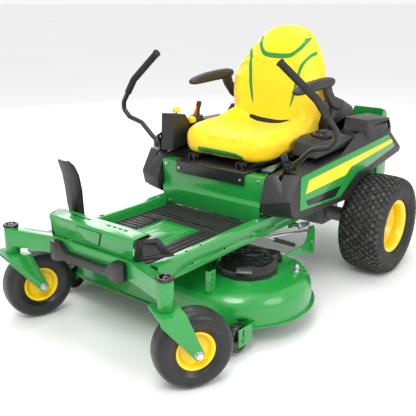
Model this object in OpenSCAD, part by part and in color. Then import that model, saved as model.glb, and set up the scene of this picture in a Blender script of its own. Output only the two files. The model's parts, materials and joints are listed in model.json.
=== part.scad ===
// Zero turn riding mower: two swivelling front wheels, two driven rear wheels,
// a belt driven cutting deck slung under a tube frame, a bucket seat and two lap bars.
// Millimetres. The machine's front faces -Y, the ground is Z = 0.
// Lengths along the machine are measured from the rear axle, widths from its middle.

/* [Part] */
// Which part to draw

/* [Placing] */
// Shift of the machine's middle plane from the middle of the whole size
middle_x = 116; // [100:1:130]
// Distance from the rear axle forward to the middle of the whole size
middle_y = 471.58; // [460:0.01:480]

/* [Frame] */
// Middle of a frame rail from the machine's middle
rail_x = 270; // [262:1:274]
// Width of a frame rail tube
rail_w = 40; // [36:1:42]
// Height of a frame rail tube
rail_h = 70; // [60:1:76]
// Top of the frame rails above the ground
rail_top = 378; // [374:1:380]
// Wall of the frame tubes
tube_wall = 4; // [3:0.5:6]
// Front end of the rails
rail_front = -1296; // [-1300:1:-1290]
// Rear end of the rails
rail_rear = 424; // [420:1:430]

/* [Front axle] */
// Swivel post from the machine's middle
post_x = 405; // [400:1:412]
// Swivel post ahead of the rear axle
post_y = -1386; // [-1390:1:-1380]
// Outer radius of a swivel post
post_r = 28; // [26:0.5:30]
// Bottom of a swivel post
post_bottom = 291; // [290.5:0.5:293]
// Top of a swivel post
post_top = 396; // [390:1:400]

/* [Front wheels] */
// Radius of a front tyre
front_r = 139.5; // [136:0.5:140]
// Width of a front tyre
front_w = 102; // [96:1:104]
// Distance the wheel trails behind its swivel post
trail = 89; // [84:1:94]
// Angle the near wheel is swivelled to
near_swivel = 28.8; // [0:0.1:40]
// Angle the far wheel is swivelled to
far_swivel = 15.8; // [0:0.1:40]

/* [Rear wheels] */
// Radius of a rear tyre
rear_r = 228; // [222:1:230]
// Width of a rear tyre
rear_w = 208; // [196:1:212]
// Middle of a rear tyre from the machine's middle
rear_x = 476; // [474:1:482]

/* [Cutting deck] */
// Blade shafts from the machine's middle
blade_x = 262; // [258:1:264]
// Blade shafts ahead of the rear axle
blade_y = -795; // [-798:1:-790]
// Radius of the deck shell round each blade shaft
deck_r = 302; // [298:1:304]
// Height of the shell's lower lip above the ground
deck_lip = 88; // [80:1:92]
// Top of the shell above the ground
deck_top = 200; // [190:1:204]
// Blade tip radius
blade_r = 258; // [240:1:260]
// Wall of the pressed deck shell
deck_wall = 3; // [2.5:0.5:4]

/* [Seat] */
// Half width of the cushion
seat_half = 252; // [240:1:254]
// Front edge of the cushion
seat_front = -602; // [-604:1:-590]
// Underside of the cushion
seat_under = 592; // [590:1:598]
// Top of the seat back
seat_top = 1108; // [1080:1:1120]

/* [Controls] */
// Grip radius of a lap bar
grip_r = 15.5; // [14:0.5:17]
// Tube radius of a lap bar
bar_r = 11; // [10:0.5:12]
// Cup well radius
cup_r = 39.5; // [38:0.5:40]
// Hitch hole radius
hitch_r = 9.5; // [8:0.1:11]

/* [Colours] */
// Painted metal
green = "#2AAC4B"; // color
// Seat cover
seat_yellow = "#FFE400"; // color
// Wheel rims and side stripes
rim_yellow = "#FFD900"; // color
// Moulded plastic
black = "#2F2E2D"; // color
// Dark powder coat
dark = "#3B3A39"; // color
// Tyre rubber
rubber = "#434343"; // color
// Bright steel
steel = "#B9BCBE"; // color
// Engine casting
casting = "#8D9092"; // color
// Choke lever
orange = "#F7941E"; // color

/* [Hidden] */
$fn = 64;
eps = 0.01;
gap = 0.4;
front_axle_z = front_r;
rear_axle_z = rear_r;
rail_bottom = rail_top - rail_h;
floor_z = 342;
guard_rear = 490;
bar_bend = 26;
pipe_step = 24;

// ---- shared helpers ----

module machine() {
  translate([middle_x, middle_y, 0]) children();
}

module sided(side) {
  if (side > 0) children();
  else mirror([1, 0, 0]) children();
}

// Round bar between two points
module rod(a, b, r) {
  d = b - a;
  len = norm(d);
  translate(a) rotate([0, acos(d[2] / len), atan2(d[1], d[0])]) cylinder(h = len, r = r);
}

// Round bar along a list of points, with rounded bends
module bent_rod(points, r) {
  for (i = [0:len(points) - 2]) rod(points[i], points[i + 1], r);
  if (len(points) > 2)
    for (i = [1:len(points) - 2]) translate(points[i]) sphere(r = r * 1.03);
}

function on_plane(p) = [p[0], p[1], 0];
function way(points, i) = (points[i + 1] - points[i]) / norm(points[i + 1] - points[i]);
function turn(points, i) = acos(way(points, i - 1) * way(points, i));

// Path with every corner rounded to a radius
function rounded(points, radius, steps = 4) = concat([points[0]],
  [for (i = [1:len(points) - 2])
    let (a = way(points, i - 1), b = way(points, i), t = turn(points, i), back = radius * tan(t / 2),
      side = cross(on_plane(a), on_plane(b))[2] > 0 ? 1 : -1, start = points[i] - a * back,
      middle = start + [-a[1], a[0]] * side * radius, arm = start - middle)
    for (k = [0:steps]) let (q = side * t * k / steps)
      middle + [arm[0] * cos(q) - arm[1] * sin(q), arm[0] * sin(q) + arm[1] * cos(q)]],
  [points[len(points) - 1]]);

// Direction across the path at a point, longer on a bend
function across(points, i) =
  let (last = len(points) - 1, a = way(points, max(i - 1, 0)), b = way(points, min(i, last - 1)),
    m = (a + b) / norm(a + b))
  [-m[1], m[0]] / (m * a);

// Tube bent in the XY plane
module pipe(points, r) {
  path = rounded(points, bar_bend);
  loft([for (i = [0:len(path) - 1]) [for (t = [0:pipe_step:359])
    on_plane(path[i] + across(path, i) * r * cos(t)) + [0, 0, r * sin(t)]]]);
}

// Box between two corners
module block(a, b) {
  translate(a) cube(b - a);
}

// Closed body through rings of points that all have the same count
module loft(rings) {
  n = len(rings[0]);
  m = len(rings);
  points = [for (r = rings) for (p = r) p];
  sides = [for (i = [0:m - 2]) for (j = [0:n - 1]) for (t = [0, 1])
    t == 0 ? [i * n + j, i * n + (j + 1) % n, (i + 1) * n + j]
           : [i * n + (j + 1) % n, (i + 1) * n + (j + 1) % n, (i + 1) * n + j]];
  first = [for (j = [1:n - 2]) [0, j + 1, j]];
  last = [for (j = [1:n - 2]) [(m - 1) * n, (m - 1) * n + j, (m - 1) * n + j + 1]];
  faces = concat(sides, first, last);
  inside_out = volume(points, faces) > 0;
  polyhedron(points = points, convexity = 6,
    faces = [for (f = faces) inside_out ? [f[2], f[1], f[0]] : f]);
}

// Signed volume of a triangle mesh, to tell which way its faces turn
function volume(points, faces) =
  [for (f = faces) points[f[0]] * cross(points[f[1]], points[f[2]])] * [for (f = faces) 1];

// Ring of a rounded rectangle with half sizes a and b and corner sharpness p
function oval(a, b, p, count) = [for (i = [0:count - 1])
  let (t = 360 * i / count, c = cos(t), s = sin(t))
  [a * sign(c) * pow(abs(c), p), b * sign(s) * pow(abs(s), p)]];

// Value read off a table of [position, value] pairs
function along(t, table) = lookup(t, table);

// Turn a wheel drawn round Z so that it spins round X
module wheel_x() {
  rotate([0, 90, 0]) children();
}

// Hex head on a bolt, drawn upward from the origin
module hex(across, height) {
  cylinder(h = height, r = across / sqrt(3), $fn = 6);
}

// Rectangular tube lying along Y, open at both ends
module tube_y(x, z, w, h, y0, y1) {
  difference() {
    block([x - w / 2, y0, z - h / 2], [x + w / 2, y1, z + h / 2]);
    block([x - w / 2 + tube_wall, y0 - 1, z - h / 2 + tube_wall],
      [x + w / 2 - tube_wall, y1 + 1, z + h / 2 - tube_wall]);
  }
}

// ---- frame ----

cross_y = [-1246, -700, -210, 390];
cross_depth = 40;
hitch_y = 472;
hitch_z = 300;

module main_frame() machine() color(green) {
  for (s = [-1, 1]) difference() {
    tube_y(s * rail_x, rail_top - rail_h / 2, rail_w, rail_h, rail_front, rail_rear);
    for (y = [-1119, -929, -754, -600]) translate([s * (rail_x + rail_w / 2), y, 334])
      rotate([0, 90, 0]) cylinder(h = 3 * tube_wall, r = 5, center = true);
  }
  for (y = cross_y) difference() {
    block([-rail_x + rail_w / 2, y, rail_bottom + 8],
      [rail_x - rail_w / 2, y + cross_depth, rail_bottom + 28]);
    block([-rail_x + rail_w / 2 - 1, y + tube_wall, rail_bottom + 8 + tube_wall],
      [rail_x - rail_w / 2 + 1, y + cross_depth - tube_wall, rail_bottom + 28 - tube_wall]);
  }
  // bearing plates of the lift shaft
  for (s = [-1, 1]) difference() {
    block([s * rail_x - 5, -448, shaft_z - 66], [s * rail_x + 5, -412, rail_bottom + 1]);
    translate([s * rail_x, shaft_y, shaft_z - 50]) rotate([0, 90, 0]) cylinder(h = 20, r = 10.4, center = true);
  }
  // engine plate with the hole the crankshaft drops through
  difference() {
    block([-rail_x + rail_w / 2, -60, rail_top - 6], [rail_x - rail_w / 2, 340, rail_top]);
    translate([0, 140, 0]) cylinder(h = 500, r = 62);
  }
  // hitch plate on the rear cross tube
  difference() {
    block([-70, cross_y[3] + cross_depth, hitch_z - 4], [70, 510, hitch_z + 4]);
    translate([0, hitch_y, hitch_z - 10]) cylinder(h = 20, r = hitch_r);
  }
  block([-70, cross_y[3] + cross_depth - eps, hitch_z - 4], [70, cross_y[3] + cross_depth + 6, 330]);
}

axle_mid_y = -1320;
axle_low = 322;
axle_high = 388;
axle_depth = 48;

module front_axle() machine() color(green) {
  difference() {
    union() {
      block([-190, axle_mid_y - axle_depth / 2, axle_low], [190, axle_mid_y + axle_depth / 2, axle_high]);
      for (s = [0, 1]) mirror([s, 0, 0]) {
        linear_extrude_z(axle_low, axle_high) polygon([
          [188, axle_mid_y - axle_depth / 2], [post_x, post_y - 22], [post_x, post_y + 24],
          [188, axle_mid_y + axle_depth / 2]]);
        translate([post_x, post_y, post_bottom]) cylinder(h = post_top - post_bottom, r = post_r);
      }
    }
    block([-186, axle_mid_y - axle_depth / 2 + tube_wall, axle_low + tube_wall],
      [186, axle_mid_y + axle_depth / 2 - tube_wall, axle_high - tube_wall]);
    for (s = [-1, 1]) translate([s * post_x, post_y, 0]) {
      translate([0, 0, post_bottom - 1]) cylinder(h = 200, r = 13.1);
      translate([0, 0, post_bottom + 16]) cylinder(h = 72, r = 20);
      translate([0, 0, post_top - 10]) cylinder(h = 20, r = 22);
    }
  }
}

module linear_extrude_z(z0, z1) {
  translate([0, 0, z0]) linear_extrude(height = z1 - z0) children();
}

module post_caps() {
  for (s = [-1, 1]) translate([s * post_x, post_y, 0]) difference() {
    union() {
      translate([0, 0, post_top]) cylinder(h = 7, r = post_r + 2);
      translate([0, 0, post_top + 6.9]) cylinder(h = 3.1, r1 = post_r + 2, r2 = post_r - 2, $fn = 48);
      translate([0, 0, post_top - 8]) cylinder(h = 8.1, r = 21.9);
    }
    translate([0, 0, post_top - 9]) cylinder(h = 14, r = 18);
    translate([0, 0, post_top + 7]) difference() {
      cylinder(h = 4, r = 21);
      translate([0, 0, -1]) cylinder(h = 6, r = 9);
      for (a = [0:60:300]) rotate([0, 0, a]) translate([0, -2, -1]) cube([30, 4, 6]);
    }
  }
}

// ---- platform ----

pan_front = -1290;
pan_rear = -662;
pan_half = rail_x - rail_w / 2 - 0.5;

module floor_pan() machine() color(green) {
  block([-pan_half, pan_front, floor_z - 3], [pan_half, pan_rear, floor_z]);
  // ears that carry the pedal pin
  for (s = [-1, 1]) difference() {
    block([pedal_x + s * 26 - 1.9, -1204, floor_z - 1], [pedal_x + s * 26 + 1.9, -1168, 400]);
    translate([pedal_x + s * 26, pedal_y, pedal_z]) rotate([0, 90, 0]) cylinder(h = 10, r = 6, center = true);
  }
  for (s = [0, 1]) mirror([s, 0, 0])
    block([pan_half - 3, pan_front, floor_z - eps], [pan_half, panel_y - 16, floor_z + 22]);
}

mat_x = 232;
cover_x = 92;
cover_front = -1120;
cover_rear = -860;

module mat_part(x0, x1, y0, y1, across) {
  block([x0, y0, floor_z], [x1, y1, floor_z + 4]);
  pitch = 26;
  count = floor((across ? y1 - y0 : x1 - x0) / pitch);
  start = ((across ? y1 - y0 : x1 - x0) - (count - 1) * pitch) / 2;
  for (i = [0:count - 1]) {
    c = (across ? y0 : x0) + start + i * pitch;
    if (across) block([x0 + 8, c - 7, floor_z + 4 - eps], [x1 - 8, c + 7, floor_z + 7]);
    else block([c - 7, y0 + 8, floor_z + 4 - eps], [c + 7, y1 - 8, floor_z + 7]);
  }
}

module floor_mats() machine() color(black) {
  mat_part(-mat_x, -cover_x - 14, -1164, cover_rear + 10, true);
  mat_part(cover_x + 14, mat_x, -1235, cover_rear + 10, false);
  mat_part(-mat_x, mat_x, cover_rear + 14, -676, true);
}

module inspection_cover() machine() color(green) {
  block([-cover_x, cover_front, floor_z], [cover_x, cover_rear, floor_z + 2.5]);
  block([-cover_x + 10, cover_front + 10, floor_z + 2.4], [cover_x - 10, cover_rear - 10, floor_z + 6]);
  for (x = [-1, 1]) for (y = [cover_front + 24, cover_rear - 24])
    translate([x * (cover_x - 22), y, floor_z + 5.9]) cylinder(h = 3, r = 6);
}

// Folded front bumper: a leaning face, a flat top and a lip down to the platform
module front_bumper() machine() color(green) {
  outer = [[-1331, 390], [-1342, 462], [-1336, 471], [-1266, 474], [-1258, 466], [-1258, 396]];
  inner = [[-1328, 388], [-1338, 461], [-1334, 467.5], [-1267, 470.5], [-1261, 465], [-1261, 388]];
  difference() {
    loft([[for (p = outer) [-206 - (p[1] - 390) * 0.2, p[0], p[1]]],
      [for (p = outer) [206 + (p[1] - 390) * 0.2, p[0], p[1]]]]);
    translate([0, 0, -0.01]) rotate([90, 0, 90]) translate([0, 0, -300])
      linear_extrude(height = 600) polygon(inner);
    for (s = [-1, 1]) for (i = [0:3])
      block([s * 96 - 52 + i * 28, -1296, 460], [s * 96 - 34 + i * 28, -1288, 480]);
  }
  // recessed plate on the face
  translate([0, -1341, 433]) rotate([8.7, 0, 0]) translate([0, 1.2, 0]) rotate([90, 0, 0])
    linear_extrude(height = 2.6) polygon([[-62, 27], [62, 27], [42, -25], [-42, -25]]);
}

// Black mouldings: post caps, a cap on each end of the bumper and the step bar under it
module front_mouldings() machine() color(black) {
  post_caps();
  for (s = [0, 1]) mirror([s, 0, 0]) difference() {
    loft([
      [[210, -1330, 392], [210, -1262, 392], [222, -1264, 468], [222, -1336, 466]],
      [[222, -1332, 389], [286, -1205, 389], [262, -1262, 466], [226, -1334, 470]]]);
    loft([
      [[234, -1300, 404], [262, -1248, 402], [250, -1270, 446], [234, -1306, 448]],
      [[262, -1318, 396], [300, -1240, 394], [280, -1270, 462], [262, -1326, 464]]]);
  }
  // step bar, lower in the middle
  block([-118, -1370, 320], [118, -1344.5, 350]);
  for (s = [0, 1]) mirror([s, 0, 0])
    loft([
      [[108, -1370, 322], [108, -1344.5, 322], [108, -1344.5, 350], [108, -1370, 350]],
      [[146, -1378, 314], [146, -1344.5, 314], [146, -1344.5, 384], [146, -1376, 384]],
      [[184, -1376, 312], [184, -1344.5, 312], [184, -1344.5, 384], [184, -1374, 384]],
      [[192, -1366, 318], [192, -1348, 318], [192, -1348, 378], [192, -1366, 378]]]);
}

// ---- panel under the seat ----

panel_y = -658;

module front_panel() machine() color(green) {
  difference() {
    rotate([90, 0, 90]) translate([0, 0, -277]) linear_extrude(height = 554) polygon([
      [panel_y + 2, 346], [panel_y - 6, 352], [panel_y - 14, 427], [panel_y, 440], [panel_y, 546],
      [panel_y + 60, 546], [panel_y + 60, 543], [panel_y + 3, 543], [panel_y + 3, 441],
      [panel_y - 11, 426], [panel_y - 3, 353], [panel_y + 60, 350], [panel_y + 60, 346]]);
    for (s = [0, 1]) mirror([s, 0, 0]) linear_extrude_y(panel_y - 40, panel_y + 70)
      polygon([[249.6, 330], [300, 330], [300, 560], [278, 560], [266, 455], [264, 378.4],
        [249.6, 378.4]]);
  }
}

// Extrude an X, Z outline along Y
module linear_extrude_y(y0, y1) {
  translate([0, y1, 0]) rotate([90, 0, 0]) linear_extrude(height = y1 - y0) children();
}

module panel_bolts() machine() color(steel) {
  for (s = [-1, 1]) {
    translate([s * 250, panel_y, 530]) rotate([90, 0, 0]) hex(13, 5);
    translate([s * 166, -670, 524]) rotate([90, 0, 0]) hex(11, 4);
    translate([s * 232, panel_y - 7.2, 362]) rotate([96.1, 0, 0]) hex(11, 4);
  }
  for (s = [-1, 1]) for (y = [-1120, -1040, -700]) translate([s * rail_x, y, rail_top]) hex(16, 6);
}

module seat_plate() machine() color(dark) {
  difference() {
    block([-186, -670, 548], [186, -300, 554]);
    for (y = [-470, -380]) block([-60, y, 540], [60, y + 50, 560]);
  }
  block([-182, -670, 502], [182, -664, 550]);
  // ears that carry the hinge pins of the seat
  for (s = [-1, 1]) for (t = [-1, 1]) difference() {
    block([s * 130 + t * 14 - 3, -630, 553], [s * 130 + t * 14 + 3, -596, 582]);
    translate([s * 130, -613, 570]) rotate([0, 90, 0]) cylinder(h = 60, r = 5.3, center = true);
  }
  // legs down to the rails
  for (s = [-1, 1]) block([s * 168 - 4, -560, rail_top - 60], [s * 168 + 4, -520, 549]);
  for (s = [-1, 1]) block([s * 168 - 4, -350, rail_top - 60], [s * 168 + 4, -310, 549]);
  for (y = [-560, -350]) block([-249, y, rail_top - 66], [249, y + 40, rail_top - 60]);
}

// ---- body sides ----

// Outline points of a fender, as [y, z], at its outer and inner faces
fender_outer = [[-597, 567], [-660, 472], [-645, 414], [-615, 391], [-186, 383], [-120, 439],
  [-20, 471], [256, 520], [262, 540], [150, 629], [40, 620], [0, 616], [-40, 613], [-100, 608],
  [-300, 592]];
fender_mid = [[-604, 568], [-666, 468], [-652, 411], [-622, 390], [-192, 384], [-126, 441],
  [-24, 473], [246, 522], [262, 560], [244, 640], [220, 682], [-6, 700], [-22, 652], [-104, 646],
  [-118, 600]];
fender_inner = [[-650, 556], [-690, 448], [-678, 408], [-650, 390], [-300, 384], [-216, 476],
  [-94, 496], [236, 524], [262, 560], [244, 650], [220, 692], [-6, 706], [-22, 652], [-104, 646],
  [-118, 600]];

// The side plane leans outward toward the rear
function side_x(y) = 405 + 0.04 * (y + 600);

module fender_body() {
  loft([
    [for (p = fender_outer) [side_x(p[0]), p[0], p[1]]],
    [for (p = fender_mid) [374 + 0.02 * (p[0] + 600), p[0], p[1]]],
    [for (p = fender_inner) [279, p[0], p[1]]]]);
}

lever_slot = [[328, -634], [342, -522]];

module fender_common() {
  difference() {
    fender_body();
    // inside of the moulding, open below
    linear_extrude_x(288, 384) polygon([[-612, 370], [-628, 404], [-640, 466], [-584, 550], [-300, 550],
      [-300, 370]]);
    block([287, -190, 450], [392, 60, 590]);
    block([287, 20, 500], [400, 225, 672]);
    // slot the lap bar carrier moves in
    block([lever_slot[0][0], lever_slot[0][1], 500], [lever_slot[1][0], lever_slot[1][1], 700]);
  }
}

cup_x = 336;
cup_y = -63.5;

module fender_near() machine() color(black) difference() {
  fender_common();
  translate([cup_x, cup_y, 598]) cylinder(h = 200, r = cup_r);
}

module fender_far() machine() color(black) mirror([1, 0, 0]) difference() {
  fender_common();
  block([300, -92, 600], [366, -36, 700]);
}

// Outlines on the side plane, as [y, z]
module on_side(depth, start = 0) {
  for (s = [0, 1]) mirror([s, 0, 0])
    translate([side_x(0), 0, 0]) rotate([0, 0, -atan(0.04)]) rotate([90, 0, 90])
      translate([0, 0, start]) linear_extrude(height = depth) children();
}

panel_depth = 3;
stripe_depth = 1;

module side_panels() machine() color(green) {
  on_side(panel_depth) polygon([[-592, 561], [124, 621], [200, 556], [186, 550],
    [-52, 501], [-140, 492], [-222, 448], [-284, 408], [-592, 420]]);
}

module side_stripes() machine() color(rim_yellow) {
  on_side(stripe_depth, panel_depth) polygon([[-534, 537], [160, 594], [174, 576], [-208, 529], [-248, 501], [-556, 484]]);
}

// ---- right hand console and its controls ----

// Levers on the console turn on one cross line
lever_y = -388;

module console() machine() color(black) {
  // low body behind, pod in front
  loft([
    [[-266, -470, 602], [-266, -124, 602], [-266, -124, 672], [-266, -430, 684], [-266, -456, 676]],
    [[-372, -470, 602], [-372, -124, 602], [-372, -124, 664], [-372, -430, 676], [-372, -456, 668]]]);
  difference() {
    loft([
      [[-264, -600, 572], [-264, -486, 590], [-264, -486, 690], [-264, -512, 726], [-264, -590, 738]],
      [[-326, -612, 572], [-326, -486, 590], [-326, -486, 690], [-326, -512, 726], [-326, -602, 738]]]);
    translate([-289, -545, 690]) cylinder(h = 60, r = 3.6);
  }
  // round plate the two levers turn on
  translate([-302, lever_y, 672]) cylinder(h = 16, r = 34);
  translate([-302, lever_y, 686]) cylinder(h = 15, r = 30);
}

module height_dial() machine() color(rim_yellow) translate([-289, -545, 740]) {
  cylinder(h = 8, r = 20);
  translate([0, 0, 7.9]) cylinder(h = 6, r1 = 18, r2 = 15, $fn = 48);
  translate([-4, -19, 8]) cube([8, 38, 12]);
  translate([0, 0, -34]) cylinder(h = 34.1, r = 3.2);
}

module blade_switch() machine() color(rim_yellow) translate([-272, -462, 682]) {
  translate([-16, -16, 0]) cube([32, 32, 20]);
  translate([-12, -12, 19.9]) cube([24, 24, 6]);
}

module lever(length, tilt, top) {
  rotate([tilt, 0, 0]) {
    translate([-3, -7, 0]) cube([6, 14, length]);
    translate([-top / 2, -9, length - 26]) cube([top, 18, 26]);
  }
}

module throttle_lever() machine() color(black) translate([-292, lever_y, 709]) {
  lever(58, -8, 12);
  rotate([0, 90, 0]) cylinder(h = 8, r = 7.5, center = true);
}

module choke_lever() machine() color(orange) translate([-312, lever_y, 709]) {
  lever(62, -34, 16);
  rotate([0, 90, 0]) cylinder(h = 8, r = 7.5, center = true);
}

// ---- fuel tank ----

cap_x = 322;
cap_y = -300;
tank_top = 676;

module fuel_tank() machine() color(black) difference() {
  loft([
    [[266, -440, 602], [266, -126, 602], [266, -126, 666], [266, -200, tank_top], [266, -380, tank_top], [266, -420, 660]],
    [[383, -440, 602], [383, -126, 610], [383, -126, 642], [380, -200, 664], [380, -380, 660], [382, -420, 644]]]);
  translate([cap_x, cap_y, 650]) cylinder(h = 60, r = 46);
  translate([cap_x, cap_y, 630]) cylinder(h = 60, r = 30);
  block([278, -380, 610], [372, -170, 640]);
}

module fuel_cap() machine() color(black) translate([cap_x, cap_y, 650.4]) {
  cylinder(h = 26, r = 38);
  for (a = [0:30:330]) rotate([0, 0, a]) translate([37, -3, 2]) cube([4, 6, 22]);
  translate([0, 0, 25.9]) cylinder(h = 6, r1 = 34, r2 = 28, $fn = 48);
  translate([-26, -5, 31]) cube([52, 10, 8]);
  translate([0, 0, -14]) cylinder(h = 14.1, r = 28);
}

// ---- engine and drive ----

engine_y = 140;

module engine_block() machine() color(casting) {
  translate([0, engine_y, rail_top]) cylinder(h = 150, r = 120);
  for (s = [-1, 1]) {
    translate([s * 60, engine_y + 40, rail_top + 80]) rotate([0, s * 90, s * 28]) {
      cylinder(h = 130, r = 46);
      for (i = [0:6]) translate([-58, -58, 34 + i * 14]) cube([116, 116, 5]);
    }
  }
  translate([0, engine_y, rail_top - 30]) cylinder(h = 31, r = 30);
  translate([-70, -20, rail_top + 4]) cube([140, 60, 90]);
}

module engine_shroud() machine() color(black) {
  loft([
    [for (p = oval(196, 150, 0.55, 24)) [p[0], engine_y + 20 + p[1], rail_top + 196]],
    [for (p = oval(204, 158, 0.55, 24)) [p[0], engine_y + 20 + p[1], rail_top + 236]],
    [for (p = oval(190, 146, 0.6, 24)) [p[0], engine_y + 20 + p[1], rail_top + 330]],
    [for (p = oval(150, 112, 0.7, 24)) [p[0], engine_y + 20 + p[1], rail_top + 362]]]);
  translate([0, engine_y, rail_top + 150]) cylinder(h = 58, r = 100);
  difference() {
    translate([0, engine_y, rail_top + 355]) cylinder(h = 20, r = 96);
    for (i = [-5:5]) block([-80, engine_y + i * 15 - 3, rail_top + 365], [80, engine_y + i * 15 + 3, rail_top + 390]);
  }
}

module muffler() machine() color(dark) {
  translate([-150, 405, 520]) rotate([0, 90, 0]) cylinder(h = 300, r = 48);
  bent_rod([[-100, 300, 470], [-100, 345, 500], [-100, 380, 512]], 16);
  bent_rod([[100, 300, 470], [100, 345, 500], [100, 380, 512]], 16);
  rod([120, 440, 510], [147, 471, 483], 14);
}

guard_low = 330;
guard_high = 676;

module rear_guard() machine() color(green) {
  difference() {
    loft([
      [for (p = guard_ring(0)) [p[0], p[1], guard_low]],
      [for (p = guard_ring(0)) [p[0], p[1], 560]],
      [for (p = guard_ring(-14)) [p[0], p[1], guard_high]]]);
    loft([
      [for (p = guard_ring(-4)) [p[0], p[1], guard_low - 1]],
      [for (p = guard_ring(-4)) [p[0], p[1], 560]],
      [for (p = guard_ring(-18)) [p[0], p[1], guard_high + 1]]]);
    block([-400, 200, 300], [400, 330, 700]);
    for (i = [0:7]) block([-168 + i * 46, 470, 420], [-154 + i * 46, 500, 610]);
    linear_extrude_y(470, 520) polygon([[-90, 700], [90, 700], [60, 640], [-60, 640]]);
    linear_extrude_x(-320, 320) polygon([[320, 700], [410, 700], [330, 600]]);
  }
}

module linear_extrude_x(x0, x1) {
  translate([x0, 0, 0]) rotate([90, 0, 90]) linear_extrude(height = x1 - x0) children();
}

function guard_ring(d) = [[-296 - d, 300], [296 + d, 300], [296 + d, 430 + d / 2],
  [236 + d / 2, guard_rear + d], [-236 - d / 2, guard_rear + d], [-296 - d, 430 + d / 2]];

horn_end = 366;

module transaxles() machine() color(casting) {
  for (s = [0, 1]) mirror([s, 0, 0]) difference() {
    union() {
      block([90, -74, 182], [222, 74, 296]);
      for (i = [0:5]) block([96 + i * 21, -84, 190], [103 + i * 21, 84, 284]);
      translate([200, 0, rear_axle_z]) rotate([0, 90, 0]) cylinder(h = horn_end - 200, r = 34);
      translate([164, -20, 295]) cylinder(h = 22, r = 16);
      translate([164, -20, 316]) cylinder(h = 18, r = 62);
    }
    translate([240, 0, rear_axle_z]) rotate([0, 90, 0]) cylinder(h = 200, r = 16.6);
  }
}

// ---- front wheels ----

module at_caster(side) {
  translate([side * post_x, post_y, 0]) rotate([0, 0, side > 0 ? -near_swivel : -far_swivel])
    children();
}

fork_in = front_w / 2 + 6;
fork_plate = 6;

module caster_fork(side) machine() color(green) at_caster(side) {
  block([-fork_in - fork_plate, -42, 281.5], [fork_in + fork_plate, 50, 289.5]);
  for (s = [-1, 1]) translate([s > 0 ? fork_in : -fork_in - fork_plate, 0, 0])
    rotate([90, 0, 90]) linear_extrude(height = fork_plate) union() {
      polygon([[-42, 289], [50, 289], [56, 272], [trail + 18, front_axle_z + 7],
        [trail - 10, front_axle_z - 17], [-36, 262]]);
      translate([trail, front_axle_z]) circle(r = 20);
    }
  // swivel pin in the post, with its nut
  translate([0, 0, 289]) cylinder(h = 90, r = 12.8);
  translate([0, 0, 386.4]) hex(30, 8);
  translate([0, 0, 370]) cylinder(h = 20, r = 10);
  // axle bolt, its spacers, head and nut
  translate([0, trail, front_axle_z]) rotate([0, 90, 0]) {
    cylinder(h = 2 * fork_in + 2 * fork_plate + 12, r = 9.4, center = true);
    for (s = [-1, 1]) translate([0, 0, s * (fork_in - 4)]) cylinder(h = 8, r = 15, center = true);
    for (s = [0, 1]) mirror([0, 0, s]) translate([0, 0, fork_in + fork_plate - eps]) {
      cylinder(h = 2.6, r = 15);
      translate([0, 0, 2.5]) hex(23, 10);
    }
  }
}

module caster_fork_near() caster_fork(1);
module caster_fork_far() caster_fork(-1);

module at_caster_wheel(side) {
  at_caster(side) translate([0, trail, front_axle_z]) wheel_x() children();
}

module caster_tyre(side) machine() color(rubber) at_caster_wheel(side) {
  h = front_w / 2;
  rotate_extrude($fn = 96) polygon([[64, -31], [70, -36], [76, -39], [92, -47], [106, -h + 1], [118, -h],
    [128, -h + 3], [134, -h + 9], [138, -h + 20], [front_r, -22], [front_r, 22], [138, h - 20],
    [134, h - 9], [128, h - 3], [118, h], [106, h - 1], [92, 47], [76, 39], [70, 36], [64, 31]]);
}

module caster_tyre_near() caster_tyre(1);
module caster_tyre_far() caster_tyre(-1);

module caster_rim(side) machine() color(rim_yellow) at_caster_wheel(side) {
  rotate_extrude($fn = 96) polygon([[9.9, -46], [24, -46], [25, -20], [40, -12], [52, -16], [58, -34],
    [66, -37.5], [70, -37.5], [69.4, -36.4], [63.6, -31], [63.6, 31], [69.4, 36.4], [70, 37.5],
    [66, 37.5], [58, 34], [52, 16], [40, 12], [25, 20], [24, 46], [9.9, 46]]);
}

module caster_rim_near() caster_rim(1);
module caster_rim_far() caster_rim(-1);

// ---- rear wheels ----

module at_drive_wheel(side) {
  sided(side) translate([rear_x, 0, rear_axle_z]) wheel_x() children();
}

module drive_tyre(side) machine() color(rubber) at_drive_wheel(side) {
  h = rear_w / 2;
  rotate_extrude($fn = 96) polygon([[108, -68], [115, -76], [123, -82], [140, -h + 7], [164, -h],
    [192, -h + 2], [208, -h + 8], [218, -h + 18], [225, -h + 34], [rear_r, -h + 54], [rear_r, h - 54],
    [225, h - 34], [218, h - 18], [208, h - 8], [192, h - 2], [164, h], [140, h - 7], [123, 82],
    [115, 76], [108, 68]]);
}

module drive_tyre_near() drive_tyre(1);
module drive_tyre_far() drive_tyre(-1);

module drive_rim(side) machine() color(rim_yellow) at_drive_wheel(side) difference() {
  rotate_extrude($fn = 96) polygon([[30.5, 4], [62, 4], [74, 10], [84, 28], [98, 36], [100, 68], [108, 80],
    [122, 84.2], [122, 82], [114.4, 76.2], [107.6, 68], [107.6, -68], [114.4, -76.2], [122, -82],
    [122, -84.2], [108, -80], [100, -68], [98, 34], [82, 24], [70, 5], [60, -1], [30.5, -1]]);
  for (a = [0:72:288]) rotate([0, 0, a]) translate([50, 0, -10]) cylinder(h = 20, r = 7);
  rotate([0, 0, 126]) translate([88, 0, 20]) cylinder(h = 30, r = 4);
}

module drive_rim_near() drive_rim(1);
module drive_rim_far() drive_rim(-1);

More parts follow.
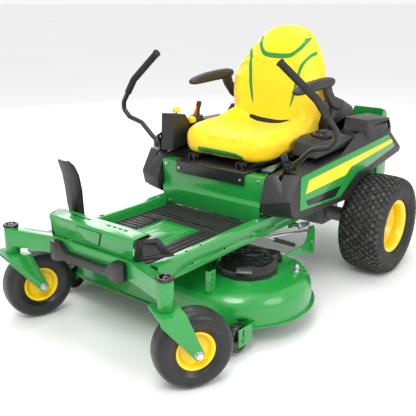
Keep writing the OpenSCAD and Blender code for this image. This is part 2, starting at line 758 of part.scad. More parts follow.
module drive_hub(side) machine() color(dark) at_drive_wheel(side) {
  // flange behind the rim disc, cap in front, studs through it
  translate([0, 0, -9]) cylinder(h = 7.7, r = 64);
  translate([0, 0, -9]) cylinder(h = 22, r = 30);
  translate([0, 0, 12.9]) cylinder(h = 16, r = 26);
  translate([0, 0, 28.8]) cylinder(h = 3, r1 = 26, r2 = 22, $fn = 48);
  for (a = [0:72:288]) rotate([0, 0, a]) translate([50, 0, -4]) {
    cylinder(h = 14, r = 6);
    translate([0, 0, 8.4]) hex(19, 9);
  }
  // axle shaft into the drive unit
  translate([0, 0, -(rear_x - 300)]) cylinder(h = rear_x - 300 - 8, r = 16);
  translate([0, 0, -34]) cylinder(h = 26, r = 30);
}

module drive_hub_near() drive_hub(1);
module drive_hub_far() drive_hub(-1);

// ---- lap bars ----

carrier_x = 354;
pivot_y = -548;
pivot_z = 470;
swing_z = 592;

module lever_carrier(side) machine() color(dark) sided(side) {
  // leaning bar with two adjusting holes, on a cross pin below
  translate([carrier_x, pivot_y, pivot_z]) rotate([20, 0, 0]) difference() {
    translate([-22, -20, -20]) cube([6, 40, 206]);
    for (z = [150, 172]) translate([-30, 0, z]) rotate([0, 90, 0]) cylinder(h = 20, r = 5);
  }
  translate([carrier_x - 30, pivot_y, pivot_z]) rotate([0, 90, 0]) cylinder(h = 56, r = 12);
  // fork that carries the swing pin
  for (t = [-1, 1]) difference() {
    block([carrier_x - 20, -592 + t * 18 - 3, 578], [carrier_x + 16, -592 + t * 18 + 3, 612]);
    translate([carrier_x, -592, swing_z]) rotate([90, 0, 0]) cylinder(h = 60, r = 6.4, center = true);
  }
}

module lever_carrier_near() lever_carrier(1);
module lever_carrier_far() lever_carrier(-1);

// Path of a lap bar in its own leaning plane, as [across, up from the swing pin]
bar_path = [[carrier_x, 0], [400, 36], [456, 88], [532, 106], [566, 140], [560, 176], [536, 208],
  [478, 286], [324, 410]];
bar_lean = 5.7;
grip_start = 6;

module in_bar_plane() {
  translate([0, -592, swing_z]) rotate([90 + bar_lean, 0, 0]) children();
}

module lap_bar(side) machine() color(dark) sided(side) {
  in_bar_plane() pipe(bar_path, bar_r);
  translate([carrier_x, -592, swing_z]) rotate([90, 0, 0]) cylinder(h = 28, r = 14, center = true);
  translate([carrier_x, -592, swing_z]) rotate([90, 0, 0]) cylinder(h = 52, r = 6, center = true);
}

module lap_bar_near() lap_bar(1);
module lap_bar_far() lap_bar(-1);

module lap_grip(side) machine() color(black) sided(side) in_bar_plane() {
  path = [for (i = [grip_start:len(bar_path) - 1]) bar_path[i]];
  last = len(path) - 1;
  unit = (path[last] - path[last - 1]) / norm(path[last] - path[last - 1]);
  begin = path[0] + (path[1] - path[0]) * 0.18;
  difference() {
    union() {
      pipe([begin, path[1], path[2] + unit * 4], grip_r);
      rod(on_plane(path[2] + unit * 3), on_plane(path[2] + unit * 9), grip_r + 1.5);
    }
    pipe([begin - (path[1] - path[0]) * 0.02, path[1], path[2] + unit * 0.4], bar_r + 0.3);
  }
}

module lap_grip_near() lap_grip(1);
module lap_grip_far() lap_grip(-1);

// ---- seat ----

hinge_y = -613;
hinge_z = 570;

module seat_base() machine() color(dark) {
  block([-206, -560, 574], [206, -170, 582]);
  for (s = [-1, 1]) {
    block([s * 130 - 9, -600, 560], [s * 130 + 9, -180, 575]);
    block([s * 130 - 9, -622, 562], [s * 130 + 9, -598, 578]);
    translate([s * 130, hinge_y, hinge_z]) rotate([0, 90, 0]) cylinder(h = 44, r = 5, center = true);
    for (t = [-1, 1]) translate([s * 130 + t * 22, hinge_y, hinge_z]) rotate([0, 90, 0])
      cylinder(h = 6, r = 9, center = true, $fn = 6);
    // side posts that hold the armrests
    block([min(s * 200, s * 232), -190, 574], [max(s * 200, s * 232), -160, 582]);
    block([s * 228 - 4, -190, 574], [s * 228 + 4, -56, 640]);
    rod([s * 228, -84, 610], [s * 238, -72, 768], 9);
    translate([s * 246, -72, 768]) rotate([0, 90, 0]) cylinder(h = 34, r = 8, center = true);
  }
}

half_w = [[640, 205], [700, 232], [780, 243], [830, 246], [870, 240], [930, 220], [985, 196],
  [1031, 150], [1060, 124], [1090, 98], [1108, 62]];
back_front = [[640, -225], [680, -212], [760, -196], [860, -188], [950, -168], [1030, -136],
  [1080, -108], [1108, -80]];
back_rear = [[640, -96], [760, -84], [950, -62], [1060, -28], [1108, -44]];
cushion_half = [[-602, 150], [-585, 200], [-540, 238], [-450, 252], [-300, 250], [-150, 215],
  [-90, 190]];
cushion_top = [[-602, 622], [-585, 652], [-540, 676], [-450, 688], [-300, 680], [-200, 690],
  [-90, 690]];

module seat_shell() machine() color(seat_yellow) {
  // cushion
  loft([for (y = [seat_front, -585, -540, -450, -300, -200, -90])
    let (hw = along(y, cushion_half), top = along(y, cushion_top), low = seat_under)
    [for (p = oval(hw, (top - low) / 2, 0.55, 20)) [p[0], y, low + (top - low) / 2 + p[1]]]]);
  // back
  loft([for (z = [640, 700, 780, 830, 870, 930, 985, 1031, 1060, 1090, seat_top])
    let (hw = along(z, half_w), f = along(z, back_front), r = along(z, back_rear))
    [for (p = oval(hw, (r - f) / 2, 0.5, 20)) [p[0], (r + f) / 2 + p[1], z]]]);
}

arm_y = -72;
arm_z = 768;

module armrest(side) machine() color(black) sided(side) difference() {
  union() {
    loft([for (p = [[-456, 12, 9, 866], [-438, 21, 17, 869], [-390, 25, 22, 874], [-250, 27, 24, 880],
        [-175, 26, 22, 881], [-150, 19, 14, 881]])
      [for (q = oval(p[1], p[2], 0.7, 16)) [278 + q[0], p[0], p[3] + q[1]]]]);
    linear_extrude_x(262, 288) polygon([[-224, 872], [-170, 872], [-140, 812], [-98, 786], [-54, 782], [-50, 756],
      [-88, 748], [-142, 762], [-196, 812]]);
    translate([275, arm_y, arm_z]) rotate([0, 90, 0]) cylinder(h = 28, r = 26, center = true);
  }
  translate([262, arm_y, arm_z]) rotate([0, 90, 0]) cylinder(h = 60, r = 8.4, center = true);
}

module armrest_near() armrest(1);
module armrest_far() armrest(-1);

// ---- cutting deck ----

// Half section of the shell, as [distance from the blade shaft, height], inset by t
module shell_outline(t) {
  top = deck_top - t;
  side = deck_r - t;
  polygon(concat([[0, deck_lip - t], [0, top], [side - 62, top], [side - 36, top - 8],
    [side - 21, top - 26], [side - 14, top - 50]],
    t > 0 ? [[side - 12, deck_lip - t]]
          : [[side - 12, deck_lip + 4], [deck_r, deck_lip + 4], [deck_r, deck_lip]]));
}

// How much further the shell reaches on the outlet side
outlet_stretch = 46;

module shell_form(t) {
  for (x = [-blade_x - outlet_stretch, blade_x]) translate([x, blade_y, 0])
    rotate_extrude($fn = 96) shell_outline(t);
  for (s = [0, 1]) translate([0, blade_y, 0]) mirror([0, s, 0]) rotate([90, 0, 90])
    translate([0, 0, -blade_x - outlet_stretch])
      linear_extrude(height = 2 * blade_x + outlet_stretch) shell_outline(t);
}

outlet_front = -1010;
outlet_rear = -690;
pocket_side = 424;
pocket_rear = -1004;
pocket_top = 124;
flap_x = -640;
flap_z = 200;

// Space for a gauge wheel in the front corner of the shell, grown by a wall
module pocket(wall) {
  block([pocket_side - wall, -1200, deck_lip - 8 + wall * 8 / 3],
    [506, pocket_rear - 3 + wall, pocket_top + wall]);
}

module deck_shell() machine() color(green) difference() {
  union() {
    difference() {
      union() {
        shell_form(0);
        // boxed outlet on the right hand side
        block([-632, outlet_front - 6, deck_lip], [-400, outlet_rear + 6, deck_top - 4]);
      }
      shell_form(deck_wall);
      block([-640, outlet_front, deck_lip - 10], [-395, outlet_rear, deck_top - 8]);
      for (s = [0, 1]) mirror([s, 0, 0]) pocket(0);
    }
    // walls of the two pockets the gauge wheels run in
    for (s = [0, 1]) intersection() {
      shell_form(0);
      mirror([s, 0, 0]) difference() {
        pocket(3);
        pocket(0);
      }
    }
    // lugs that hold the hinge rod of the deflector
    for (y = [-1000, -700]) difference() {
      linear_extrude_y(y - 2, y + 2) polygon([[-628, 190], [-628, 212], [-652, 212], [-652, 190]]);
      translate([flap_x, y, flap_z]) rotate([90, 0, 0]) cylinder(h = 20, r = 7.4, center = true);
    }
    // spindle housings
    for (s = [-1, 1]) translate([s * blade_x, blade_y, 0]) {
      translate([0, 0, 148]) cylinder(h = deck_top + 8 - 148, r = 40);
      translate([0, 0, deck_top - 1]) cylinder(h = 6, r = 84);
    }
  }
  for (s = [-1, 1]) translate([s * blade_x, blade_y, 140]) cylinder(h = 90, r = 12.9);
  // wash port
  translate([470, -640, 150]) cylinder(h = 80, r = 9);
}

cover_base = deck_top + 0.5;
cover_mid = [286, -778];

module belt_cover() {
  difference() {
    union() {
      loft([
        [for (p = cover_ring(126)) [p[0], p[1], cover_base]],
        [for (p = cover_ring(122)) [p[0], p[1], cover_base + 30]],
        [for (p = cover_ring(106)) [p[0], p[1], cover_base + 45]],
        [for (p = cover_ring(90)) [p[0], p[1], cover_base + 49]]]);
      // raised flat part toward the middle of the machine
      loft([
        [[176, -700, cover_base], [352, -690, cover_base], [352, -620, cover_base], [176, -640, cover_base]],
        [[180, -704, cover_base + 44], [346, -694, cover_base + 44], [346, -632, cover_base + 46],
          [180, -648, cover_base + 46]]]);
    }
    loft([
      [for (p = cover_ring(118)) [p[0], p[1], cover_base - 1]],
      [for (p = cover_ring(116)) [p[0], p[1], cover_base + 28]],
      [for (p = cover_ring(102)) [p[0], p[1], cover_base + 41]],
      [for (p = cover_ring(86)) [p[0], p[1], cover_base + 45]]]);
    for (a = [15:30:345]) translate([cover_mid[0], cover_mid[1], cover_base + 38]) rotate([0, 0, a])
      translate([66, -4, 0]) cube([18, 8, 20]);
  }
  translate([cover_mid[0], cover_mid[1], cover_base + 43]) cylinder(h = 10, r = 26);
}

function cover_ring(r) = [for (a = [15:30:345]) [cover_mid[0] + r * cos(a), cover_mid[1] + r * sin(a)]];

module belt_covers() machine() color(black) {
  for (s = [0, 1]) mirror([s, 0, 0]) belt_cover();
}

hanger_x = 310;

module deck_hangers() machine() color(green) for (s = [0, 1]) mirror([s, 0, 0]) {
  // front angle bracket with three holes
  difference() {
    union() {
      block([hanger_x, -1052, deck_top], [hanger_x + 4, -1016, 284]);
      block([hanger_x - 14, -1052, deck_top], [hanger_x + 4, -1048, 284]);
    }
    for (z = [226, 246, 266]) translate([hanger_x, -1032, z]) rotate([0, 90, 0]) cylinder(h = 20, r = 4, center = true);
  }
  block([hanger_x - 14, -1028, deck_top], [hanger_x + 4, -1000, deck_top + 3]);
  // rear bracket
  difference() {
    linear_extrude_x(338, 343) polygon([[-612, deck_top], [-545, deck_top], [-500, 184], [-362, 150],
      [-350, 158], [-350, 262], [-362, 284], [-382, 284], [-430, 214], [-560, 214], [-612, 208]]);
    for (p = [[-382, 270], [-370, 210]]) translate([330, p[0], p[1]]) rotate([0, 90, 0])
      cylinder(h = 20, r = 5.6);
  }
  // gauge wheel bracket with a height slot
  difference() {
    union() {
      block([476, gauge_y - 28, 46], [480, pocket_rear - 3, 116]);
      // on the near side the plate reaches back over the lip to the wall
      if (s == 0) block([476, pocket_rear - 4, deck_lip + 4.2], [480, -990.8, 116]);
      // axle bolt of the gauge wheel with its heads
      translate([448, gauge_y, gauge_z]) rotate([0, 90, 0]) {
        translate([0, 0, -23]) cylinder(h = 62, r = 5.6);
        translate([0, 0, -23.5]) hex(17, 3.2);
        translate([0, 0, 31.9]) hex(17, 8);
      }
    }
    block([470, gauge_y - 4, gauge_z + 13], [484, gauge_y + 4, 108]);
  }
}

gauge_y = -1062;
gauge_z = 66;

module gauge_wheel(side) machine() color(black) sided(side) translate([448, gauge_y, gauge_z]) {
  rotate([0, 90, 0]) difference() {
    rotate_extrude($fn = 72) polygon([[6, -20], [14, -20], [16, -14], [36, -14], [40, -19], [50, -19],
      [53, -15], [53, 15], [50, 19], [40, 19], [36, 14], [16, 14], [14, 20], [6, 20]]);
  }
}

module gauge_wheel_near() gauge_wheel(1);
module gauge_wheel_far() gauge_wheel(-1);

blade_z = deck_lip + 14;

module blade(side) machine() color(steel) translate([side * blade_x, blade_y, 0]) rotate([0, 0, side > 0 ? 40 : 128]) {
  // bar with lifted tails
  difference() {
    translate([-blade_r, -30, blade_z]) cube([2 * blade_r, 60, 5]);
    for (s = [0, 1]) rotate([0, 0, s * 180]) translate([blade_r - 130, -31, blade_z - 1])
      cube([140, 16, 7]);
  }
  for (s = [0, 1]) rotate([0, 0, s * 180]) translate([blade_r - 120, 12, blade_z + 4.9])
    rotate([38, 0, 0]) cube([110, 26, 4]);
  // shaft, washer, bolt and pulley
  translate([0, 0, blade_z - 8]) hex(24, 9);
  translate([0, 0, blade_z + 4]) cylinder(h = deck_top + 30 - blade_z - 4, r = 12.5);
  translate([0, 0, deck_top + 12]) cylinder(h = 5, r = 62);
  translate([0, 0, deck_top + 16]) cylinder(h = 9, r = 56);
  translate([0, 0, deck_top + 24]) cylinder(h = 5, r = 62);
}

module blade_near() blade(1);
module blade_far() blade(-1);

module clutch_pulley() machine() color(steel) translate([0, engine_y, 0]) {
  translate([0, 0, 300]) cylinder(h = 5, r = 58);
  translate([0, 0, 304]) cylinder(h = 10, r = 50);
  translate([0, 0, 313]) cylinder(h = 5, r = 58);
  translate([0, 0, 317]) cylinder(h = 26, r = 44);
}

module deflector() machine() color(black) {
  difference() {
    linear_extrude_y(outlet_front - 30, outlet_rear + 60) polygon([[flap_x, flap_z + 4], [-706, 180],
      [-812, 104], [-812, 98], [-706, 172], [flap_x, flap_z - 4]]);
    for (y = [-1000, -700]) block([flap_x - 20, y - 4, 150], [flap_x + 20, y + 4, 240]);
  }
  for (y = [outlet_front - 30, outlet_rear + 56])
    linear_extrude_y(y, y + 4) polygon([[flap_x - 1, 197], [-704, 175], [-808, 102], [-780, 100], [-646, 120]]);
  translate([flap_x, outlet_front - 30, flap_z]) rotate([-90, 0, 0])
    cylinder(h = outlet_rear - outlet_front + 90, r = 7);
}

// ---- deck lift ----

pedal_x = -222;
pedal_y = -1186;
pedal_z = 384;

// Centre line of the pedal, as [height, distance from the rear axle, half width, half depth]
pedal_line = [[366, -1196, 22, 12], [402, -1201, 22.5, 12], [420, -1204, 27, 13], [480, -1212, 32, 14], [540, -1216, 34, 14],
  [600, -1226, 34, 13], [640, -1242, 32, 11], [662, -1258, 26, 6]];

module pedal_form(thinner, back) {
  loft([for (p = pedal_line) let (w = p[2] - thinner, d = p[3])
    [[pedal_x - w, p[1] - d + thinner, p[0]], [pedal_x + w, p[1] - d + thinner, p[0]],
      [pedal_x + w, p[1] + d + back, p[0]], [pedal_x - w, p[1] + d + back, p[0]]]]);
}

module lift_pedal() machine() color(black) {
  difference() {
    pedal_form(0, 0);
    pedal_form(5, 8);
  }
  block([pedal_x - 21.5, -1207, 366], [pedal_x + 21.5, -1178, 398]);
  translate([pedal_x, pedal_y, pedal_z]) rotate([0, 90, 0]) cylinder(h = 58, r = 5.6, center = true);
}

shaft_y = -430;
shaft_z = 344;

module lift_shaft() machine() color(steel) {
  translate([-325, shaft_y, shaft_z - 50]) rotate([0, 90, 0]) cylinder(h = 650, r = 10);
  for (s = [0, 1]) mirror([s, 0, 0])
    linear_extrude_x(314, 320) polygon([[shaft_y - 14, shaft_z - 62], [shaft_y + 12, shaft_z - 62],
      [shaft_y + 70, shaft_z - 66], [shaft_y + 70, shaft_z - 48], [shaft_y + 12, shaft_z - 36],
      [shaft_y - 14, shaft_z - 38]]);
}

// Bright straps and rods that hang the deck
module lift_links() machine() color(steel) for (s = [0, 1]) mirror([s, 0, 0]) {
  linear_extrude_x(323, 327) polygon([[-378, 276], [-358, 276], [-352, 218], [-352, 200], [-384, 200], [-384, 218]]);
  translate([318, -370, 210]) rotate([0, 90, 0]) cylinder(h = 28, r = 5.2);
  rod([331.5, -680, 319], [331.5, -366, 263], 5.5);
}

main_frame();
front_axle();
floor_pan();
floor_mats();
inspection_cover();
front_bumper();
front_mouldings();
front_panel();
panel_bolts();
seat_plate();
fender_near();
fender_far();
side_panels();
side_stripes();
console();
engine_block();
engine_shroud();
muffler();
rear_guard();
transaxles();
fuel_tank();
fuel_cap();
height_dial();
blade_switch();
throttle_lever();
choke_lever();
caster_fork_near();
caster_fork_far();
caster_tyre_near();
caster_tyre_far();
caster_rim_near();
caster_rim_far();
drive_tyre_near();
drive_tyre_far();
drive_rim_near();
drive_rim_far();
drive_hub_near();
drive_hub_far();
lever_carrier_near();
lever_carrier_far();
lap_bar_near();
lap_bar_far();
lap_grip_near();
lap_grip_far();
seat_base();
seat_shell();
armrest_near();
armrest_far();
deck_shell();
belt_covers();
deck_hangers();
gauge_wheel_near();
gauge_wheel_far();
blade_near();
blade_far();
clutch_pulley();
deflector();
lift_pedal();
lift_shaft();
lift_links();
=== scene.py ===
"""Zero turn riding mower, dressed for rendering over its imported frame."""

import json
import math

import bmesh
import bpy
from mathutils import Euler, Matrix, Vector, noise
from mathutils.bvhtree import BVHTree


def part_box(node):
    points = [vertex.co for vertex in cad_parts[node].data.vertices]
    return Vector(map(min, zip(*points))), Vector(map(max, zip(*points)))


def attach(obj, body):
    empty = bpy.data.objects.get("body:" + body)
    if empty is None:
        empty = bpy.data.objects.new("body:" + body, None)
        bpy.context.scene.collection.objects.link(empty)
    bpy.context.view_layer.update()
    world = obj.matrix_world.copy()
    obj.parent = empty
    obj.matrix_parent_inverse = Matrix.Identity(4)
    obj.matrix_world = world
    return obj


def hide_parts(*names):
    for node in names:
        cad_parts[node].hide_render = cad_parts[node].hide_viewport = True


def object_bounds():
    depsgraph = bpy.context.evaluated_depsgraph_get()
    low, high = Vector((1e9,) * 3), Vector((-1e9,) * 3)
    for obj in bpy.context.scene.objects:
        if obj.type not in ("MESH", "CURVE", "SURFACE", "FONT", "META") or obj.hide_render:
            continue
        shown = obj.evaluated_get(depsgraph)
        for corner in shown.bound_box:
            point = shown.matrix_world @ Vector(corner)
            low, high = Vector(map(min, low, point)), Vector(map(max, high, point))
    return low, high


bl_info = {
    "name": "Zero Turn Mower",
    "version": (1, 0, 0),
    "blender": (4, 5, 0),
    "location": "View3D > Sidebar > Mower",
    "description": "Dresses the frame of a zero turn riding mower with its finished pieces",
    "category": "Object",
}

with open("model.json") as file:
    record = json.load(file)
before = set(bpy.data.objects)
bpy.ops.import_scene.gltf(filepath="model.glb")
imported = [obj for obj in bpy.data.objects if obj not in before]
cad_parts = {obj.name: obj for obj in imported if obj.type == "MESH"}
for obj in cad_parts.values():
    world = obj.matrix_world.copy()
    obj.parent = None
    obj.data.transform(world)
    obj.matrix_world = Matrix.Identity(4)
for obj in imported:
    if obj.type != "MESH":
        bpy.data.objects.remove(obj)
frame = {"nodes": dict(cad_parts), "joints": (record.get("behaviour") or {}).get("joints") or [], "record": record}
cad_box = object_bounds()
record = frame["record"]
home = {n: b for b, nodes in record["behaviour"]["bodies"].items() for n in nodes}
slot_of = {s["node"]: s["material_slot"] for s in record["subparts"]}
MM = 0.001


# ---- places, all from the frame ----

def centre(node):
    low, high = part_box(node)
    return (low + high) / 2


middle = Vector(((centre("drive_rim_near").x + centre("drive_rim_far").x) / 2,
                 centre("drive_rim_near").y, 0.0))


def at(x, y, z):
    """A point in millimetres from the ground under the middle of the rear axle."""
    return middle + Vector((x, y, z)) * MM


# ---- sizes and colours a user would change ----

class MowerColours(bpy.types.PropertyGroup):
    """Colours of the mower's finishes"""

    green: bpy.props.FloatVectorProperty(
        name="Green paint", description="Frame, deck and body panels", subtype="COLOR",
        size=3, min=0, max=1, default=(0.010, 0.265, 0.040))
    yellow: bpy.props.FloatVectorProperty(
        name="Yellow paint", description="Wheel rims and small yellow pieces", subtype="COLOR",
        size=3, min=0, max=1, default=(0.94, 0.64, 0.0))
    seat: bpy.props.FloatVectorProperty(
        name="Seat cover", description="Vinyl of the seat", subtype="COLOR",
        size=3, min=0, max=1, default=(0.93, 0.62, 0.0))
    black: bpy.props.FloatVectorProperty(
        name="Moulded black", description="Plastic body sides and covers", subtype="COLOR",
        size=3, min=0, max=1, default=(0.012, 0.0115, 0.0115))
    coat: bpy.props.FloatVectorProperty(
        name="Dark coat", description="Powder coated brackets and levers", subtype="COLOR",
        size=3, min=0, max=1, default=(0.008, 0.008, 0.008))
    rubber: bpy.props.FloatVectorProperty(
        name="Tyre rubber", description="Tread and side walls", subtype="COLOR",
        size=3, min=0, max=1, default=(0.014, 0.014, 0.014))
    steel: bpy.props.FloatVectorProperty(
        name="Bright steel", description="Bolts, straps and blades", subtype="COLOR",
        size=3, min=0, max=1, default=(0.62, 0.63, 0.65))
    casting: bpy.props.FloatVectorProperty(
        name="Casting", description="Engine and drive units", subtype="COLOR",
        size=3, min=0, max=1, default=(0.30, 0.31, 0.32))
    orange: bpy.props.FloatVectorProperty(
        name="Orange plastic", description="Throttle lever knob", subtype="COLOR",
        size=3, min=0, max=1, default=(0.93, 0.25, 0.01))


class MowerSizes(bpy.types.PropertyGroup):
    """Sizes of the finished pieces"""

    metal_edge: bpy.props.FloatProperty(
        name="Metal edge", description="Rounding on the edges of sheet metal",
        unit="LENGTH", min=0.0002, max=0.004, default=0.0014)
    mould_edge: bpy.props.FloatProperty(
        name="Moulded edge", description="Rounding on the edges of plastic mouldings",
        unit="LENGTH", min=0.0005, max=0.008, default=0.0036)
    tread_depth: bpy.props.FloatProperty(
        name="Tread depth", description="Height of the rear tread blocks",
        unit="LENGTH", min=0.002, max=0.010, default=0.0065)
    tread_pitch: bpy.props.IntProperty(
        name="Tread pitch", description="Tread blocks round a rear tyre", min=24, max=60, default=46)
    seat_voxel: bpy.props.FloatProperty(
        name="Seat mesh size", description="Mesh size the seat form is made at",
        unit="LENGTH", min=0.004, max=0.012, default=0.006)
    seat_swell: bpy.props.FloatProperty(
        name="Seat swell", description="Most the cover may swell over its foam",
        unit="LENGTH", min=0.002, max=0.030, default=0.012)


# ---- finishes ----

class Nodes:
    """Small helper that adds and links shader nodes"""

    def __init__(self, name):
        self.material = bpy.data.materials.new(name)
        self.material.use_nodes = True
        self.tree = self.material.node_tree
        self.tree.nodes.clear()
        self.out = self.add("ShaderNodeOutputMaterial")
        self.shader = self.add("ShaderNodeBsdfPrincipled")
        self.link(self.shader.outputs[0], self.out.inputs["Surface"])
        self.place = self.add("ShaderNodeTexCoord").outputs["Object"]

    def add(self, kind, **values):
        node = self.tree.nodes.new(kind)
        for key, value in values.items():
            setattr(node, key, value)
        return node

    def link(self, a, b):
        self.tree.links.new(a, b)

    def cloud(self, scale, detail=3.0, rough=0.5):
        node = self.add("ShaderNodeTexNoise")
        node.inputs["Scale"].default_value = scale
        node.inputs["Detail"].default_value = detail
        node.inputs["Roughness"].default_value = rough
        self.link(self.place, node.inputs["Vector"])
        return node.outputs["Fac"]

    def cells(self, scale, feature="F1"):
        node = self.add("ShaderNodeTexVoronoi", feature=feature)
        node.inputs["Scale"].default_value = scale
        self.link(self.place, node.inputs["Vector"])
        return node.outputs["Distance"]

    def span(self, value, low, high, start=0.3, end=0.7):
        node = self.add("ShaderNodeMapRange")
        node.inputs["From Min"].default_value = start
        node.inputs["From Max"].default_value = end
        node.inputs["To Min"].default_value = low
        node.inputs["To Max"].default_value = high
        self.link(value, node.inputs["Value"])
        return node.outputs["Result"]

    def mix(self, fac, a, b, blend="MIX"):
        node = self.add("ShaderNodeMix", data_type="RGBA", blend_type=blend)
        self.link(fac, node.inputs[0])
        for socket, value in ((node.inputs[6], a), (node.inputs[7], b)):
            if isinstance(value, (tuple, list)):
                socket.default_value = value
            else:
                self.link(value, socket)
        return node.outputs[2]

    def bump(self, height, strength, distance, below=None):
        node = self.add("ShaderNodeBump")
        node.inputs["Strength"].default_value = strength
        node.inputs["Distance"].default_value = distance
        self.link(height, node.inputs["Height"])
        if below is not None:
            self.link(below, node.inputs["Normal"])
        return node.outputs["Normal"]

    def edges(self, low=0.52, high=0.60):
        geometry = self.add("ShaderNodeNewGeometry")
        return self.span(geometry.outputs["Pointiness"], 0.0, 1.0, low, high)


def tint(colour, share):
    return tuple(min(1.0, c * share) for c in colour) + (1.0,)


def wash(n, colour, scale, spread, edge_highlight=0.0, highlight_colour=None, dust=0.0, dust_colour=(0.16, 0.13, 0.09)):
    """Base colour with broad variation, paler edges as a painted highlight, and settled dust."""
    base = n.mix(n.span(n.cloud(scale, 4.0), 0.0, 1.0), tint(colour, 1 - spread), tint(colour, 1 + spread))
    # convex edges, picked by pointiness and broken up by noise, are made paler: a painted edge highlight
    if edge_highlight:
        highlight_mask = n.add("ShaderNodeMath", operation="MULTIPLY")
        n.link(n.edges(), highlight_mask.inputs[0])
        n.link(n.span(n.cloud(55.0, 5.0), 0.0, edge_highlight, 0.42, 0.72), highlight_mask.inputs[1])
        base = n.mix(highlight_mask.outputs[0], base, tint(highlight_colour or tuple(c + 0.05 for c in colour), 1.0))
    if dust:
        specks = n.span(n.cloud(26.0, 6.0, 0.65), 0.0, dust, 0.50, 0.78)
        base = n.mix(specks, base, tint(dust_colour, 1.0))
    n.link(base, n.shader.inputs["Base Color"])
    return base


def gloss(n, low, high, scale=30.0):
    n.link(n.span(n.cloud(scale, 4.0), low, high), n.shader.inputs["Roughness"])


def paint(name, colour, low=0.20, high=0.32, coat=0.55):
    """Gloss powder paint: orange peel, faint cloudiness, paler edges as a painted highlight."""
    n = Nodes(name)
    wash(n, colour, 5.0, 0.05, 0.30, tuple(c * 1.25 + 0.02 for c in colour), 0.03)
    gloss(n, low, high, 18.0)
    n.shader.inputs["Coat Weight"].default_value = coat
    n.shader.inputs["Coat Roughness"].default_value = 0.08
    n.shader.inputs["Specular IOR Level"].default_value = 0.5
    n.link(n.bump(n.cloud(420.0, 2.0), 0.05, 0.0006), n.shader.inputs["Normal"])
    return n.material


def plastic(name, colour, low=0.36, high=0.52, grain=0.22, scale=900.0):
    """Moulded plastic with a leathery texture and slightly paler edges as a painted highlight."""
    n = Nodes(name)
    wash(n, colour, 7.0, 0.10, 0.45, tuple(c * 2.2 + 0.02 for c in colour), 0.05, (0.10, 0.095, 0.085))
    gloss(n, low, high, 40.0)
    n.shader.inputs["Specular IOR Level"].default_value = 0.55
    coarse = n.bump(n.cells(scale * 0.55), grain, 0.0004)
    n.link(n.bump(n.cloud(scale, 3.0), grain, 0.0003, coarse), n.shader.inputs["Normal"])
    return n.material


def tyre_rubber(name, colour, edge_highlight=0.7, low=0.55, high=0.78):
    """Tyre rubber: dull, greyer on its edges as a painted highlight, fine pitted skin."""
    n = Nodes(name)
    wash(n, colour, 9.0, 0.18, edge_highlight, (0.11, 0.108, 0.104), 0.16, (0.085, 0.078, 0.066))
    gloss(n, low, high, 30.0)
    n.shader.inputs["Specular IOR Level"].default_value = 0.42
    coarse = n.bump(n.cloud(160.0, 5.0, 0.6), 0.25, 0.0008)
    n.link(n.bump(n.cells(1300.0), 0.20, 0.0003, coarse), n.shader.inputs["Normal"])
    return n.material


def vinyl(name, colour, sheen=0.12):
    """Seat vinyl: fine leather grain, soft gloss and small bumped creases."""
    n = Nodes(name)
    wash(n, colour, 4.0, 0.035, 0.0, None, 0.0)
    gloss(n, 0.34, 0.46, 22.0)
    n.shader.inputs["Sheen Weight"].default_value = sheen
    n.shader.inputs["Specular IOR Level"].default_value = 0.42
    n.shader.inputs["Subsurface Weight"].default_value = 0.0
    creases = n.bump(n.cells(620.0, "DISTANCE_TO_EDGE"), 0.25, 0.0004)
    n.link(n.bump(n.cloud(120.0, 4.0), 0.12, 0.0009, creases), n.shader.inputs["Normal"])
    return n.material


def bright(name, colour, low=0.24, high=0.42):
    """Zinc plated or ground steel with fine streaks."""
    n = Nodes(name)
    wash(n, colour, 14.0, 0.10, 0.0, None, 0.10, (0.30, 0.28, 0.25))
    gloss(n, low, high, 90.0)
    n.shader.inputs["Metallic"].default_value = 1.0
    stretch = n.add("ShaderNodeMapping")
    stretch.inputs["Scale"].default_value = (1400.0, 60.0, 60.0)
    n.link(n.place, stretch.inputs["Vector"])
    streak = n.add("ShaderNodeTexNoise")
    streak.inputs["Scale"].default_value = 1.0
    streak.inputs["Detail"].default_value = 3.0
    n.link(stretch.outputs[0], streak.inputs["Vector"])
    n.link(n.bump(streak.outputs["Fac"], 0.10, 0.0002), n.shader.inputs["Normal"])
    return n.material


def cast_metal(name, colour):
    """Sand cast aluminium: grey, pitted, oil darkened in patches, paler edges as a painted highlight."""
    n = Nodes(name)
    wash(n, colour, 10.0, 0.14, 0.4, (0.42, 0.43, 0.44), 0.30, (0.10, 0.09, 0.08))
    gloss(n, 0.42, 0.66, 45.0)
    n.shader.inputs["Metallic"].default_value = 0.75
    n.link(n.bump(n.cloud(380.0, 5.0, 0.7), 0.45, 0.0009), n.shader.inputs["Normal"])
    return n.material


def foam(name, colour):
    """Foam grip sleeve: matt, pricked all over, paler edges as a painted highlight."""
    n = Nodes(name)
    wash(n, colour, 16.0, 0.12, 0.3, (0.07, 0.07, 0.07), 0.06, (0.08, 0.075, 0.07))
    gloss(n, 0.62, 0.80, 60.0)
    pricks = n.bump(n.cells(520.0), 0.55, 0.0008)
    n.link(n.bump(n.cloud(900.0, 2.0), 0.3, 0.0003, pricks), n.shader.inputs["Normal"])
    return n.material


finishes = {}


